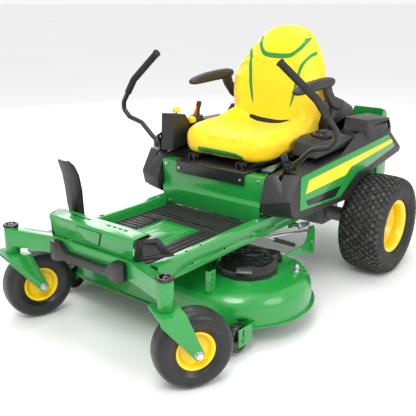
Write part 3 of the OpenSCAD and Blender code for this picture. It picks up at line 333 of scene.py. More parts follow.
def finish(slot):
    """The finish for one of the record's material slots, or for a piece's own."""
    if slot in finishes:
        return finishes[slot]
    c = bpy.context.scene.mower_colours
    green, yellow, black, coat = tuple(c.green), tuple(c.yellow), tuple(c.black), tuple(c.coat)
    makers = {
        "green_paint": lambda: paint("green paint", green),
        "green_plastic": lambda: paint("green panel", tuple(x * 1.04 for x in green), 0.24, 0.34, 0.4),
        "yellow_paint": lambda: paint("yellow paint", yellow, 0.24, 0.36, 0.4),
        "yellow_plastic": lambda: plastic("yellow plastic", yellow, 0.26, 0.38, 0.08),
        "seat_vinyl": lambda: vinyl("seat vinyl", tuple(c.seat)),
        "seat_band": lambda: vinyl("seat band", tuple(x * 0.9 for x in green), 0.05),
        "black_plastic": lambda: plastic("black moulding", black),
        "black_gloss": lambda: plastic("black gloss moulding", tuple(x * 0.6 for x in black), 0.16, 0.28, 0.05),
        "dark_coat": lambda: paint("dark coat", coat, 0.30, 0.46, 0.15),
        "tyre": lambda: tyre_rubber("tyre rubber", tuple(c.rubber)),
        "smooth_tyre": lambda: tyre_rubber("smooth tyre rubber", tuple(c.rubber), 0.25, 0.24, 0.40),
        "mat_rubber": lambda: plastic("mat rubber", tuple(x * 0.85 for x in black), 0.42, 0.62, 0.35, 500.0),
        "bright_steel": lambda: bright("bright steel", tuple(c.steel)),
        "casting": lambda: cast_metal("casting", tuple(c.casting)),
        "orange_plastic": lambda: plastic("orange plastic", tuple(c.orange), 0.28, 0.40, 0.08),
        "foam_grip": lambda: foam("foam grip", tuple(x * 0.8 for x in black)),
        "armrest_skin": lambda: plastic("armrest skin", tuple(x * 1.15 for x in black), 0.40, 0.56, 0.40, 420.0),
    }
    finishes[slot] = makers[slot]()
    return finishes[slot]


# ---- mesh helpers ----

def piece(name, form, slot, body, replaced=(), smooth=35.0):
    """A finished piece from a bmesh, riding on its body."""
    mesh = bpy.data.meshes.new(name)
    bmesh.ops.recalc_face_normals(form, faces=form.faces)
    form.to_mesh(mesh)
    form.free()
    obj = bpy.data.objects.new(name, mesh)
    bpy.context.scene.collection.objects.link(obj)
    mesh.materials.append(finish(slot))
    soften_shading(mesh, smooth)
    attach(obj, body)
    if replaced:
        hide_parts(*replaced)
    return obj


def soften_shading(mesh, angle):
    """Smooth shading broken at edges sharper than an angle."""
    form = bmesh.new()
    form.from_mesh(mesh)
    limit = math.radians(angle)
    for face in form.faces:
        face.smooth = True
    for edge in form.edges:
        edge.smooth = len(edge.link_faces) == 2 and edge.calc_face_angle(0.0) < limit
    form.to_mesh(mesh)
    form.free()


def node_form(node, keep=None):
    """A CAD node's mesh as a clean bmesh with flat faces joined up."""
    form = bmesh.new()
    form.from_mesh(frame["nodes"][node].data)
    bmesh.ops.remove_doubles(form, verts=form.verts, dist=0.00002)
    bmesh.ops.dissolve_limit(form, angle_limit=math.radians(0.4), verts=form.verts, edges=form.edges,
                             delimit={"NORMAL"})
    if keep:
        gone = [v for v in form.verts if not keep(v.co)]
        bmesh.ops.delete(form, geom=gone, context="VERTS")
    return form


def bevel_edges(form, width, segments, above=28.0, chosen=None):
    limit = math.radians(above)
    edges = [e for e in form.edges if len(e.link_faces) == 2 and e.calc_face_angle(0.0) > limit
             and (chosen is None or chosen(e))]
    if edges:
        bmesh.ops.bevel(form, geom=edges, offset=width, offset_type="OFFSET", segments=segments,
                        profile=0.5, affect="EDGES", clamp_overlap=True, miter_outer="ARC")


def softened(node, width, segments=2, slot=None, above=28.0, smooth=35.0, chosen=None):
    """A CAD node as a finished piece with rounded edges."""
    form = node_form(node)
    bevel_edges(form, width, segments, above, chosen)
    return piece(node + "_finished", form, slot or slot_of[node], home[node], (node,), smooth)


def lathe(form, profile, matrix, steps=96):
    """Closed ring turned from [along axis, radius] pairs, the axis being the matrix's X."""
    rings = []
    for i in range(steps):
        a = 2 * math.pi * i / steps
        rings.append([form.verts.new(matrix @ Vector((p[0], p[1] * math.cos(a), p[1] * math.sin(a))))
                      for p in profile])
    n = len(profile)
    for i in range(steps):
        one, two = rings[i], rings[(i + 1) % steps]
        for j in range(n):
            k = (j + 1) % n
            form.faces.new((one[j], one[k], two[k], two[j]))


def loft(form, rings, caps=True):
    """Closed body through rings of points."""
    made = [[form.verts.new(p) for p in ring] for ring in rings]
    n = len(made[0])
    for one, two in zip(made, made[1:]):
        for j in range(n):
            form.faces.new((one[j], one[(j + 1) % n], two[(j + 1) % n], two[j]))
    if caps:
        form.faces.new(made[0][::-1])
        form.faces.new(made[-1])
    return made


def rounded_path(points, radius, steps=8):
    """Points of a path with its corners rounded."""
    path = [Vector(points[0])]
    for before, here, after in zip(points, points[1:], points[2:]):
        before, here, after = Vector(before), Vector(here), Vector(after)
        a, b = (here - before).normalized(), (after - here).normalized()
        turn = a.angle(b)
        if turn < 0.02:
            path.append(here)
            continue
        back = min(radius * math.tan(turn / 2), (here - before).length * 0.45, (after - here).length * 0.45)
        start, end = here - a * back, here + b * back
        for k in range(steps + 1):
            t = k / steps
            path.append(start.lerp(here, t).lerp(here.lerp(end, t), t))
    path.append(Vector(points[-1]))
    return path


def tube(form, path, radius, sides=20, up=Vector((0.02, 0.03, 1.0))):
    """Round tube along a path; the radius may be a function of the share of its length."""
    rings = []
    normal = None
    for i, point in enumerate(path):
        ahead = path[min(i + 1, len(path) - 1)] - path[max(i - 1, 0)]
        direction = ahead.normalized()
        if normal is None:
            normal = (up - direction * up.dot(direction)).normalized()
        else:
            normal = (normal - direction * normal.dot(direction)).normalized()
        side = direction.cross(normal)
        r = radius(i / (len(path) - 1)) if callable(radius) else radius
        rings.append([point + (normal * math.cos(a) + side * math.sin(a)) * r
                      for a in [2 * math.pi * k / sides for k in range(sides)]])
    loft(form, rings)


def hex_head(form, place, axis, across, height, washer=0.0):
    """Hexagon head with chamfered corners, standing on a surface."""
    turn = Vector((0, 0, 1)).rotation_difference(Vector(axis)).to_matrix()
    place = Vector(place)
    r = across / math.sqrt(3)
    if washer:
        rings = []
        for z, s in ((0.0, 1.0), (0.0016, 1.0), (0.0020, 0.95), (0.0020, 0.3)):
            rings.append([place + turn @ Vector((washer * s * math.cos(a), washer * s * math.sin(a), z))
                          for a in [2 * math.pi * k / 24 for k in range(24)]])
        loft(form, rings)
    base = 0.0018 if washer else 0.0
    rings = []
    for z, s in ((base, 1.0), (base + height * 0.82, 1.0), (base + height, 0.86)):
        rings.append([place + turn @ Vector((r * s * math.cos(a), r * s * math.sin(a), z))
                      for a in [math.pi / 3 * k for k in range(6)]])
    loft(form, rings)


def surface_of(obj):
    tree_form = bmesh.new()
    tree_form.from_mesh(obj.data)
    tree = BVHTree.FromBMesh(tree_form)
    tree_form.free()
    return tree


def smoothstep(a, b, t):
    t = max(0.0, min(1.0, (t - a) / (b - a)))
    return t * t * (3 - 2 * t)


def table_at(t, pairs):
    """Smooth value read off [position, value] pairs."""
    if t <= pairs[0][0]:
        return pairs[0][1]
    for (a, va), (b, vb) in zip(pairs, pairs[1:]):
        if t <= b:
            return va + (vb - va) * (t - a) / (b - a)
    return pairs[-1][1]


class Dressing:
    """What every dressing operator shares"""

    bl_options = {"REGISTER", "UNDO"}

    @property
    def sizes(self):
        return bpy.context.scene.mower_sizes


# ---- sheet metal ----

class MOWER_OT_frame_metal(Dressing, bpy.types.Operator):
    """Frame rails, axle, platform, bumper, panel, guard and side plates in green"""

    bl_idname = "mower.frame_metal"
    bl_label = "Green frame and panels"

    def execute(self, context):
        edge = self.sizes.metal_edge
        for node in ("main_frame", "front_axle", "floor_pan", "inspection_cover", "front_panel",
                     "rear_guard"):
            softened(node, edge, 2)
        softened("front_bumper", edge * 2.2, 3)
        softened("side_panels", edge, 2)
        softened("side_stripes", edge * 0.5, 1)
        form = bmesh.new()
        for sign in (-1, 1):
            outline = [(-552, 454), (-282, 461), (-326, 421), (-534, 429)]
            face_x = abs(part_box("side_panels")[1].x - middle.x) * 1000
            rear = 200
            rings = []
            for out, inset in ((-1.0, 0), (0.7, 0), (1.1, 1.2)):
                ring = []
                for y, z in outline:
                    ring.append(at(sign * (face_x + 0.04 * (y - rear) + out), y + (inset if y < -400 else -inset),
                                   z + (-inset if z > 440 else inset)))
                rings.append(ring)
            loft(form, rings)
        piece("side_inlays", form, "black_gloss", home["side_panels"], (), 30.0)
        badge = bmesh.new()
        rings = []
        for out, grow in ((0.0, 0), (3.2, 0), (4.6, -2.0), (4.6, -6.0), (3.2, -7.5)):
            ring = []
            for x, up in ((-66, 27), (66, 27), (43, -27), (-43, -27)):
                sx, sz = (1 if x > 0 else -1), (1 if up > 0 else -1)
                h = up + sz * grow
                ring.append(at(x + sx * grow, -1337.2 - out - 0.153 * (h + 2), 433 + h))
            rings.append(ring)
        loft(badge, rings)
        piece("bumper_badge", badge, "black_gloss", home["front_bumper"], (), 30.0)
        return {"FINISHED"}


class MOWER_OT_deck_metal(Dressing, bpy.types.Operator):
    """Cutting deck shell and the brackets that hang it"""

    bl_idname = "mower.deck_metal"
    bl_label = "Cutting deck"

    def execute(self, context):
        softened("deck_shell", self.sizes.metal_edge * 2.4, 3, above=24.0)
        softened("deck_hangers", self.sizes.metal_edge, 2)
        softened("lift_links", self.sizes.metal_edge * 0.6, 2)
        softened("lift_shaft", self.sizes.metal_edge * 0.8, 2)
        self.wash_fitting()
        self.lock_handle()
        return {"FINISHED"}

    def wash_fitting(self):
        """Hose fitting that stands on the deck's outer shoulder."""
        skin = surface_of(frame["nodes"]["deck_shell"])
        hit = skin.ray_cast(at(452, -672, 400), Vector((0, 0, -1)))[0]
        if hit is None:
            raise RuntimeError("the deck's shoulder isn't under its hose fitting")
        form = bmesh.new()
        upright = Matrix.Translation(hit) @ Matrix.Rotation(math.radians(-90), 4, "Y")
        lathe(form, [(-0.004, 0.0002), (-0.004, 0.0150), (0.0020, 0.0150), (0.0030, 0.0140), (0.0032, 0.0080),
                     (0.0120, 0.0075), (0.0124, 0.0115), (0.0180, 0.0120), (0.0185, 0.0085), (0.0270, 0.0080),
                     (0.0285, 0.0068), (0.0285, 0.0045), (0.0260, 0.0040), (0.0260, 0.0002)], upright, 40)
        piece("wash_fitting", form, "bright_steel", home["deck_shell"], (), 40.0)

    def lock_handle(self):
        """Dark grip on the deck's near lock rod."""
        form = bmesh.new()
        start, end = at(332, -655, 300), at(332, -503, 231)
        path = [start.lerp(end, t) for t in (0.0, 0.015, 0.06, 0.5, 0.94, 0.985, 1.0)]
        tube(form, path, lambda t: 0.0088 if 0.1 < t < 0.9 else 0.0066, 24)
        piece("lock_handle_grip", form, "foam_grip", home["lift_links"], (), 40.0)
        rod = bmesh.new()
        tube(rod, [at(332, -716, 327.5), at(332, -684, 313.0), at(332, -651, 298.2)], 0.0042, 16)
        piece("lock_handle_rod", rod, "bright_steel", home["lift_links"], (), 40.0)


class MOWER_OT_casters(Dressing, bpy.types.Operator):
    """Folded forks of the two front wheels"""

    bl_idname = "mower.casters"
    bl_label = "Caster forks"

    def execute(self, context):
        for side in ("near", "far"):
            fork = softened("caster_fork_" + side, self.sizes.metal_edge, 2)
            steel = finish("bright_steel")
            fork.data.materials.append(steel)
            hub = centre("caster_rim_" + side)
            axis = wheel_axis(side)
            for face in fork.data.polygons:
                c = Vector(face.center)
                out = (c - hub).dot(axis)
                off = (c - hub) - axis * out
                if off.length < 0.0165 and (abs(out) > 0.0632 or off.length < 0.012):
                    face.material_index = 1
        return {"FINISHED"}


def wheel_axis(side):
    """Axis of a front wheel, out of its outer face, read off the joint."""
    name = side + "_front_wheel_spin"
    joint = next(j for j in frame["joints"] if j["name"] == name)
    return Vector(joint["axis"]).normalized()


# ---- mouldings ----

class MOWER_OT_mouldings(Dressing, bpy.types.Operator):
    """Black body sides, console, tank, caps and covers"""

    bl_idname = "mower.mouldings"
    bl_label = "Black mouldings"

    def execute(self, context):
        edge = self.sizes.mould_edge
        for node in ("fender_near", "fender_far", "console", "fuel_tank"):
            softened(node, edge, 3, above=20.0, smooth=50.0)
        softened("front_mouldings", edge * 0.6, 2, slot="black_gloss")
        # dark strip at the panel's foot: painted shade where the platform meets the panel
        self.foot_shade_strip()
        softened("engine_shroud", edge, 3, above=24.0, smooth=50.0)
        softened("fuel_cap", edge * 0.4, 2, slot="black_gloss")
        softened("deflector", edge * 0.5, 2)
        softened("lift_pedal", edge * 0.5, 2)
        for side in ("near", "far"):
            softened("gauge_wheel_" + side, edge * 0.5, 2, slot="black_gloss")
        return {"FINISHED"}

    def foot_shade_strip(self):
        """Dark rubber strip that closes the gap between the platform and the panel's foot, a painted shade for that
        joint.
        """
        form = bmesh.new()
        section = [(-675.5, 342.2), (-662.5, 342.2), (-662.5, 347.5), (-665.0, 349.0), (-672.0, 348.0),
                   (-675.5, 345.0)]
        loft(form, [[at(x, y, z) for y, z in section] for x in (-246, 246)])
        piece("panel_foot_shade_strip", form, "mat_rubber", home["floor_mats"], (), 30.0)


class MOWER_OT_belt_covers(Dressing, bpy.types.Operator):
    """Ribbed covers over the blade pulleys"""

    bl_idname = "mower.belt_covers"
    bl_label = "Belt covers"

    def execute(self, context):
        softened("belt_covers", self.sizes.mould_edge * 0.8, 2, slot="black_gloss", above=20.0)
        return {"FINISHED"}


class MOWER_OT_controls(Dressing, bpy.types.Operator):
    """Dial, blade switch and the two engine levers on the console"""

    bl_idname = "mower.controls"
    bl_label = "Console controls"

    def execute(self, context):
        for node in ("height_dial", "blade_switch", "throttle_lever", "choke_lever"):
            softened(node, 0.0012, 3)
        return {"FINISHED"}


class MOWER_OT_levers(Dressing, bpy.types.Operator):
    """Lap bars, their carriers and the plates they turn on"""

    bl_idname = "mower.levers"
    bl_label = "Lap bars"

    def execute(self, context):
        for side in ("near", "far"):
            softened("lever_carrier_" + side, self.sizes.metal_edge, 2)
            softened("lap_bar_" + side, 0.0008, 1, above=40.0, smooth=60.0)
            softened("lap_grip_" + side, 0.0012, 2, above=40.0, smooth=60.0)
        return {"FINISHED"}


class MOWER_OT_seat_mount(Dressing, bpy.types.Operator):
    """Hinged seat plate, its base and the bolts of the front panel"""

    bl_idname = "mower.seat_mount"
    bl_label = "Seat plate and bolts"

    def execute(self, context):
        softened("seat_plate", self.sizes.metal_edge, 2)
        softened("seat_base", self.sizes.metal_edge, 2)
        softened("panel_bolts", 0.0006, 2)
        return {"FINISHED"}


class MOWER_OT_floor(Dressing, bpy.types.Operator):
    """Ribbed rubber mats of the platform"""

    bl_idname = "mower.floor"
    bl_label = "Floor mats"

    def execute(self, context):
        softened("floor_mats", 0.0015, 2)
        return {"FINISHED"}


class MOWER_OT_engine(Dressing, bpy.types.Operator):
    """Engine, silencer, drive units, pulley and blades"""

    bl_idname = "mower.engine"
    bl_label = "Engine and drive"

    def execute(self, context):
        edge = self.sizes.metal_edge
        softened("engine_block", edge, 2)
        softened("muffler", edge, 2)
        softened("transaxles", edge, 2)
        softened("clutch_pulley", edge * 0.6, 2)
        for side in ("near", "far"):
            softened("blade_" + side, edge * 0.4, 1)
        return {"FINISHED"}


# ---- wheels ----

class MOWER_OT_front_wheels(Dressing, bpy.types.Operator):
    """Smooth tyres and dished rims of the front wheels"""

    bl_idname = "mower.front_wheels"
    bl_label = "Front wheels"

    def execute(self, context):
        for side in ("near", "far"):
            self.tyre(side)
            self.rim(side)
        return {"FINISHED"}

    def place(self, side):
        axis = wheel_axis(side)
        up = Vector((0, 0, 1))
        across = up.cross(axis).normalized()
        turn = Matrix((axis, across, up)).transposed().to_4x4()
        return Matrix.Translation(centre("caster_rim_" + side)) @ turn

    def tyre(self, side):
        low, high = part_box("caster_tyre_" + side)
        r = (high.z - low.z) / 2
        h = 0.051
        profile = [(-0.031, 0.0642), (-0.0360, 0.0700), (-0.0390, 0.0760), (-0.0420, 0.0815), (-0.0432, 0.0822),
                   (-0.0436, 0.0835), (-0.0445, 0.0843)]
        crown = 22
        for i in range(crown + 1):
            a = math.pi * i / crown
            x = -math.cos(a)
            y = math.sin(a)
            profile.append((h * math.copysign(abs(x) ** 0.72, x) * 0.998, 0.094 + (r - 0.094) * y ** 0.62))
        profile += [(-x, y) for x, y in reversed(profile[:7])]
        for offset in (-0.012, 0.012):
            nearest = min(range(len(profile)), key=lambda i: abs(profile[i][0] - offset) + abs(profile[i][1] - r) * 2)
            profile[nearest] = (profile[nearest][0], profile[nearest][1] - 0.0)
        form = bmesh.new()
        lathe(form, profile, self.place(side), 128)
        piece("front_tyre_" + side, form, "smooth_tyre", home["caster_tyre_" + side], ("caster_tyre_" + side,),
              50.0)

    def rim(self, side):
        shape = [(-0.0460, 0.0099), (-0.0460, 0.0235), (-0.0450, 0.0240), (-0.0200, 0.0250), (-0.0150, 0.0290),
                 (-0.0122, 0.0360), (-0.0125, 0.0430), (-0.0160, 0.0510), (-0.0230, 0.0555), (-0.0320, 0.0578),
                 (-0.0350, 0.0600), (-0.0372, 0.0655), (-0.0377, 0.0690), (-0.0366, 0.0700), (-0.0355, 0.0692)]
        back = [(0.0 - x, y) for x, y in reversed(shape)]
        form = bmesh.new()
        lathe(form, shape + [(-0.030, 0.0636), (0.030, 0.0636)] + back, self.place(side), 96)
        piece("front_rim_" + side, form, "yellow_paint", home["caster_rim_" + side], ("caster_rim_" + side,),
              40.0)


class MOWER_OT_rear_wheels(Dressing, bpy.types.Operator):
    """Turf tyres, dished rims, hubs and lug nuts of the driven wheels"""

    bl_idname = "mower.rear_wheels"
    bl_label = "Rear wheels"

    def execute(self, context):
        for side, sign in (("near", 1), ("far", -1)):
            place = Matrix.Translation(centre("drive_rim_" + side)) @ Matrix.Diagonal((sign, 1, 1, 1))
            self.tyre(side, place)
            self.rim(side, place)
            self.hub(side, place)
        return {"FINISHED"}

    def tyre(self, side, place):
        low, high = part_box("drive_tyre_" + side)
        r = (high.z - low.z) / 2
        h = (high.x - low.x) / 2
        depth = self.sizes.tread_depth
        form = bmesh.new()
        # half section from the bead up the wall to the crown, as [across, radius]
        wall = [(0.068, 0.1082), (0.074, 0.1140), (0.0795, 0.1200), (0.0835, 0.1250), (0.0890, 0.1275),
                (0.0925, 0.1330), (0.0965, 0.1420), (0.0985, 0.1452), (0.0992, 0.1462), (0.1002, 0.1476),
                (0.1018, 0.1560), (0.1026, 0.1640), (0.1026, 0.1760), (0.1014, 0.1880), (0.0996, 0.1960)]
        crown = self.crown(r - depth, h)
        half = wall + crown
        profile = [(-x, y) for x, y in reversed(half)][::-1]
        profile = [(-x, y) for x, y in half] + [(x, y) for x, y in reversed(half)]
        lathe(form, profile, place, 144)
        self.blocks(form, place, r, h, depth)
        piece("rear_tyre_" + side, form, "tyre", home["drive_tyre_" + side], ("drive_tyre_" + side,), 32.0)

    def crown(self, r, h):
        """Section over the tread, from the shoulder to the middle."""
        points = [(0.0962, 0.2040), (0.0900, 0.2100), (0.0800, 0.2150), (0.0650, 0.2185), (0.0450, 0.2205),
                  (0.0220, 0.2213)]
        scale = r / 0.2215
        return [(x * h / 0.104, y * scale) for x, y in points]

    def over(self, x, r, h):
        """Radius of the tread surface at a distance across."""
        pairs = [(0.0, 0.2280), (0.030, 0.2275), (0.050, 0.2265), (0.068, 0.2245), (0.082, 0.2205),
                 (0.092, 0.2150), (0.098, 0.2080), (0.1015, 0.1985), (0.1035, 0.1880)]
        return table_at(abs(x) * 0.104 / h, pairs) * r / 0.228

    def blocks(self, form, place, r, h, depth):
        """Rows of small staggered blocks, longer ones over the shoulders."""
        count = self.sizes.tread_pitch
        pitch = 2 * math.pi / count
        rows = 9
        width = 2 * 0.083 / rows
        for row in range(rows):
            middle_x = -0.083 + width * (row + 0.5)
            shift = 0.5 * (row % 2)
            lean = 0.10 if row % 2 else -0.10
            for k in range(count):
                a = (k + shift) * pitch
                outline = [(-0.47, -0.30), (-0.30, -0.40), (0.30, -0.30), (0.47, -0.12), (0.47, 0.32),
                           (0.28, 0.42), (-0.28, 0.30), (-0.47, 0.14)]
                self.block(form, place, middle_x, a, pitch, width, outline, lean, r, h, depth)
        for side in (-1, 1):
            for k in range(count):
                a = (k + 0.5 * (rows % 2)) * pitch
                outline = [(-0.50, -0.34), (0.10, -0.38), (0.85, -0.30), (1.02, -0.10), (1.02, 0.16),
                           (0.85, 0.30), (0.05, 0.36), (-0.50, 0.26)]
                flipped = [(x * side, y) for x, y in outline]
                self.block(form, place, side * 0.0905, a, pitch, 0.0125, flipped, 0.0, r, h, depth)

    def block(self, form, place, x0, a0, pitch, width, outline, lean, r, h, depth):
        top, low = [], []
        for u, v in outline:
            x = x0 + u * width
            a = a0 + (v + lean * u) * pitch
            reach = self.over(x, r, h)
            for ring, inset, drop in ((top, 0.90, 0.0), (low, 1.0, depth * 1.25)):
                xi = x0 + u * width * inset
                ai = a0 + (v * inset + lean * u) * pitch
                slope = smoothstep(0.084, 0.104, abs(xi))
                rad = reach - drop * (1 - 0.75 * slope)
                xs = xi - math.copysign(drop * slope * 0.9, xi)
                ring.append(place @ Vector((xs, rad * math.cos(ai), rad * math.sin(ai))))
        tops = [form.verts.new(p) for p in top]
        lows = [form.verts.new(p) for p in low]
        n = len(tops)
        form.faces.new(tops)
        for j in range(n):
            form.faces.new((lows[j], lows[(j + 1) % n], tops[(j + 1) % n], tops[j]))

    def rim(self, side, place):
        face = [(-0.0010, 0.0305), (-0.0010, 0.0600), (0.0050, 0.0700), (0.0240, 0.0825), (0.0340, 0.0975),
                (0.0680, 0.1000), (0.0765, 0.1060), (0.0795, 0.1120), (0.0812, 0.1216), (0.0806, 0.1226),
                (0.0796, 0.1220), (0.0768, 0.1150), (0.0690, 0.1078), (0.0, 0.1078), (-0.0690, 0.1078),
                (-0.0768, 0.1150), (-0.0796, 0.1220), (-0.0806, 0.1226), (-0.0812, 0.1216), (-0.0790, 0.1100),
                (-0.0690, 0.1010), (0.0310, 0.1002), (0.0180, 0.0850), (0.0010, 0.0730), (-0.0040, 0.0620),
                (-0.0040, 0.0305)]
        form = bmesh.new()
        lathe(form, face, place, 120)
        piece("rear_rim_" + side, form, "yellow_paint", home["drive_rim_" + side], ("drive_rim_" + side,),
              40.0)
        valve = bmesh.new()
        a = math.radians(126)
        foot = place @ Vector((0.026, 0.0905 * math.cos(a), 0.0905 * math.sin(a)))
        tip = place @ Vector((0.058, 0.0840 * math.cos(a), 0.0840 * math.sin(a)))
        path = [foot.lerp(tip, t) for t in (0.0, 0.25, 0.55, 0.6, 1.0)]
        tube(valve, path, lambda t: 0.0056 if t < 0.3 else (0.0046 if t < 0.58 else 0.0040), 14)
        piece("rear_valve_" + side, valve, "black_gloss", home["drive_rim_" + side], ())

    def hub(self, side, place):
        sign = 1 if side == "near" else -1
        shaft = bmesh.new()
        outline = [(-0.176, 0.0), (-0.176, 0.016), (-0.034, 0.016), (-0.034, 0.030), (-0.009, 0.031),
                   (-0.009, 0.062), (-0.0075, 0.064), (-0.0032, 0.064), (-0.0032, 0.0298), (0.012, 0.0298),
                   (0.012, 0.0)]
        lathe(shaft, [(x, max(y, 0.0002)) for x, y in outline], place, 64)
        piece("rear_hub_" + side, shaft, "casting", home["drive_hub_" + side], ("drive_hub_" + side,))
        cap = bmesh.new()
        outline = [(0.002, 0.0002), (0.002, 0.0345), (0.004, 0.0352), (0.012, 0.0345), (0.0135, 0.0300),
                   (0.024, 0.0275), (0.0290, 0.0262), (0.0312, 0.0235), (0.0316, 0.0120), (0.0306, 0.0100),
                   (0.0306, 0.0002)]
        lathe(cap, outline, place, 64)
        piece("rear_hub_cap_" + side, cap, "black_gloss", home["drive_hub_" + side], ())
        nuts = bmesh.new()
        for k in range(5):
            a = 2 * math.pi * k / 5
            foot = place @ Vector((0.0015, 0.050 * math.cos(a), 0.050 * math.sin(a)))
            hex_head(nuts, foot, (sign, 0, 0), 0.019, 0.015, 0.0135)
            stud = [foot + Vector((sign * d, 0, 0)) for d in (0.010, 0.021, 0.0225)]
            tube(nuts, stud, lambda t: 0.006 if t < 0.9 else 0.0048, 16, Vector((0, 0, 1)))
        piece("rear_lug_nuts_" + side, nuts, "bright_steel", home["drive_hub_" + side], ())


# ---- seat ----

seat_tables = {
    # cushion: distance from the rear axle against half width, crown height and side roll height
    "half": [(-602, 138), (-592, 176), (-572, 208), (-540, 234), (-490, 248), (-400, 252), (-300, 250), (-220, 240),
             (-150, 222), (-90, 198)],
    "crown": [(-602, 622), (-592, 640), (-572, 656), (-540, 668), (-490, 674), (-400, 672), (-300, 668),
              (-240, 672), (-180, 684), (-90, 690)],
    "roll": [(-602, 6), (-572, 20), (-540, 28), (-450, 32), (-350, 36), (-260, 54), (-200, 80), (-150, 96),
             (-90, 96)],
    # back: height against half width, front and rear distance from the rear axle, side roll depth
    "back_half": [(640, 214), (700, 232), (760, 242), (830, 247), (880, 241), (930, 224), (975, 202), (1010, 178),
                  (1040, 152), (1066, 128), (1088, 102), (1102, 70), (1108, 34)],
    "back_front": [(640, -232), (680, -214), (760, -200), (860, -190), (950, -168), (1030, -136), (1070, -114),
                   (1096, -92), (1108, -74)],
    "back_rear": [(640, -104), (760, -92), (950, -62), (1030, -36), (1070, -26), (1096, -34), (1108, -60)],
    "back_roll": [(640, 20), (700, 34), (800, 38), (880, 30), (950, 16), (1010, 6), (1108, 0)],
}


class MOWER_OT_seat(Dressing, bpy.types.Operator):
    """Moulded bucket seat with rolled sides, its bands and a dark strip as the painted shade of its drain slot"""

    bl_idname = "mower.seat"
    bl_label = "Seat"

    def execute(self, context):
        form = bmesh.new()
        self.cushion(form)
        self.back(form)
        seat = piece("seat_cover", form, "seat_vinyl", home["seat_shell"], ("seat_shell",), 80.0)
        self.merge(seat)
        skin = surface_of(seat)
        self.bands(skin)
        self.slot(skin)
        self.pan()
        return {"FINISHED"}

    def cushion(self, form):
        rings = []
        for y in range(-602, -88, 16):
            half = table_at(y, seat_tables["half"])
            crown = table_at(y, seat_tables["crown"])
            roll = table_at(y, seat_tables["roll"])
            low = 586 + 6 * smoothstep(-580, -602, y)
            ring = []
            for k in range(56):
                a = 2 * math.pi * k / 56
                c, s = math.cos(a), math.sin(a)
                x = half * math.copysign(abs(c) ** 0.58, c)
                u = abs(x) / half
                if s >= 0:
                    rise = roll * smoothstep(0.42, 0.86, u)
                    dish = 13 * smoothstep(0.62, 0.0, u) * smoothstep(-600, -520, y)
                    z = low + (crown + rise - dish - low) * (0.42 + 0.58 * abs(s) ** 0.52) if s else low + (
                        crown - low) * 0.42
                else:
                    lobe = 7 * smoothstep(0.45, 0.8, u) * smoothstep(-440, -560, y)
                    z = low - lobe + (crown - low + lobe) * 0.42 * (1 - abs(s) ** 0.5)
                ring.append(at(x, y, z))
            rings.append(ring)
        loft(form, rings)

    def back(self, form):
        rings = []
        for i in range(60):
            z = 640 + (1108 - 640) * i / 59
            half = table_at(z, seat_tables["back_half"])
            front = table_at(z, seat_tables["back_front"])
            rear = table_at(z, seat_tables["back_rear"])
            roll = table_at(z, seat_tables["back_roll"])
            mid, deep = (front + rear) / 2, (rear - front) / 2
            ring = []
            for k in range(56):
                a = 2 * math.pi * k / 56
                c, s = math.cos(a), math.sin(a)
                x = half * math.copysign(abs(c) ** 0.62, c)
                y = mid + deep * math.copysign(abs(s) ** 0.55, s)
                u = abs(x) / half
                if s < 0:
                    y -= roll * smoothstep(0.45, 0.85, u) * abs(s) ** 0.4
                ring.append(at(x, y, z))
            rings.append(ring)
        loft(form, rings)

    def merge(self, seat):
        """Joins cushion and back in one skin, swells it over its foam and smooths it."""
        context_set(seat)
        remesh = seat.modifiers.new("skin", "REMESH")
        remesh.mode = "VOXEL"
        remesh.voxel_size = self.sizes.seat_voxel
        bpy.ops.object.modifier_apply(modifier=remesh.name)
        soften = seat.modifiers.new("soften", "SMOOTH")
        soften.factor = 0.6
        soften.iterations = 14
        bpy.ops.object.modifier_apply(modifier=soften.name)
        swell(seat, self.sizes.seat_swell)
        for face in seat.data.polygons:
            face.use_smooth = True
        finer = seat.modifiers.new("finer", "SUBSURF")
        finer.levels = 1
        finer.render_levels = 1
        bpy.ops.object.modifier_apply(modifier=finer.name)
        low, high = cad_box
        for v in seat.data.vertices:
            v.co.z = min(v.co.z, high.z + 0.004)

    def bands(self, skin):
        strips = {
            "head": ([(-96, 1096), (-112, 1074), (-122, 1050), (-112, 1022), (-84, 993), (-62, 982), (-20, 978),
                      (20, 978), (62, 982), (84, 993), (112, 1022), (122, 1050), (112, 1074), (96, 1096)],
                     [6, 16, 22, 20, 20, 22, 24, 24, 22, 20, 20, 24, 22, 6]),
            "left": ([(-190, 1001), (-161, 982), (-142, 950), (-130, 900), (-121, 840), (-112, 796), (-102, 757)],
                     [20, 19, 18, 17, 17, 14, 2]),
            "right": ([(190, 1001), (161, 982), (142, 950), (130, 900), (121, 840), (112, 796), (102, 757)],
                      [20, 19, 18, 17, 17, 14, 2]),
        }
        form = bmesh.new()
        for path, widths in strips.values():
            lay_strip(form, skin, smooth_line(path, widths), "back")
        lay_strip(form, skin, smooth_line([(-122, 603), (-90, 602), (-40, 601), (20, 600), (80, 598), (122, 594)],
                                          [20, 24, 25, 25, 24, 12]), "front")
        piece("seat_bands", form, "seat_band", home["seat_shell"], (), 60.0)

    def slot(self, skin):
        # the drain slot is a dark gloss strip laid on the skin, painted shade in place of an opening
        form = bmesh.new()
        lay_strip(form, skin, smooth_line([(-112, 700), (-100, 696), (-60, 689), (0, 686), (60, 689), (108, 701)],
                                          [14, 21, 24, 23, 16, 4]), "back", 0.0006)
        piece("seat_drain_shade", form, "black_gloss", home["seat_shell"], (), 60.0)

    def pan(self):
        """Dark moulded tray under the cushion."""
        form = bmesh.new()
        rings = []
        for z, grow in ((584, -26), (590, -12), (600, -6), (602, -12)):
            ring = []
            for k in range(64):
                a = 2 * math.pi * k / 64
                c, s = math.cos(a), math.sin(a)
                x = (238 + grow) * math.copysign(abs(c) ** 0.42, c)
                y = -345 + (232 + grow) * math.copysign(abs(s) ** 0.42, s)
                ring.append(at(x, y, z))
            rings.append(ring)
        loft(form, rings)
        piece("seat_tray", form, "black_plastic", home["seat_base"], (), 40.0)


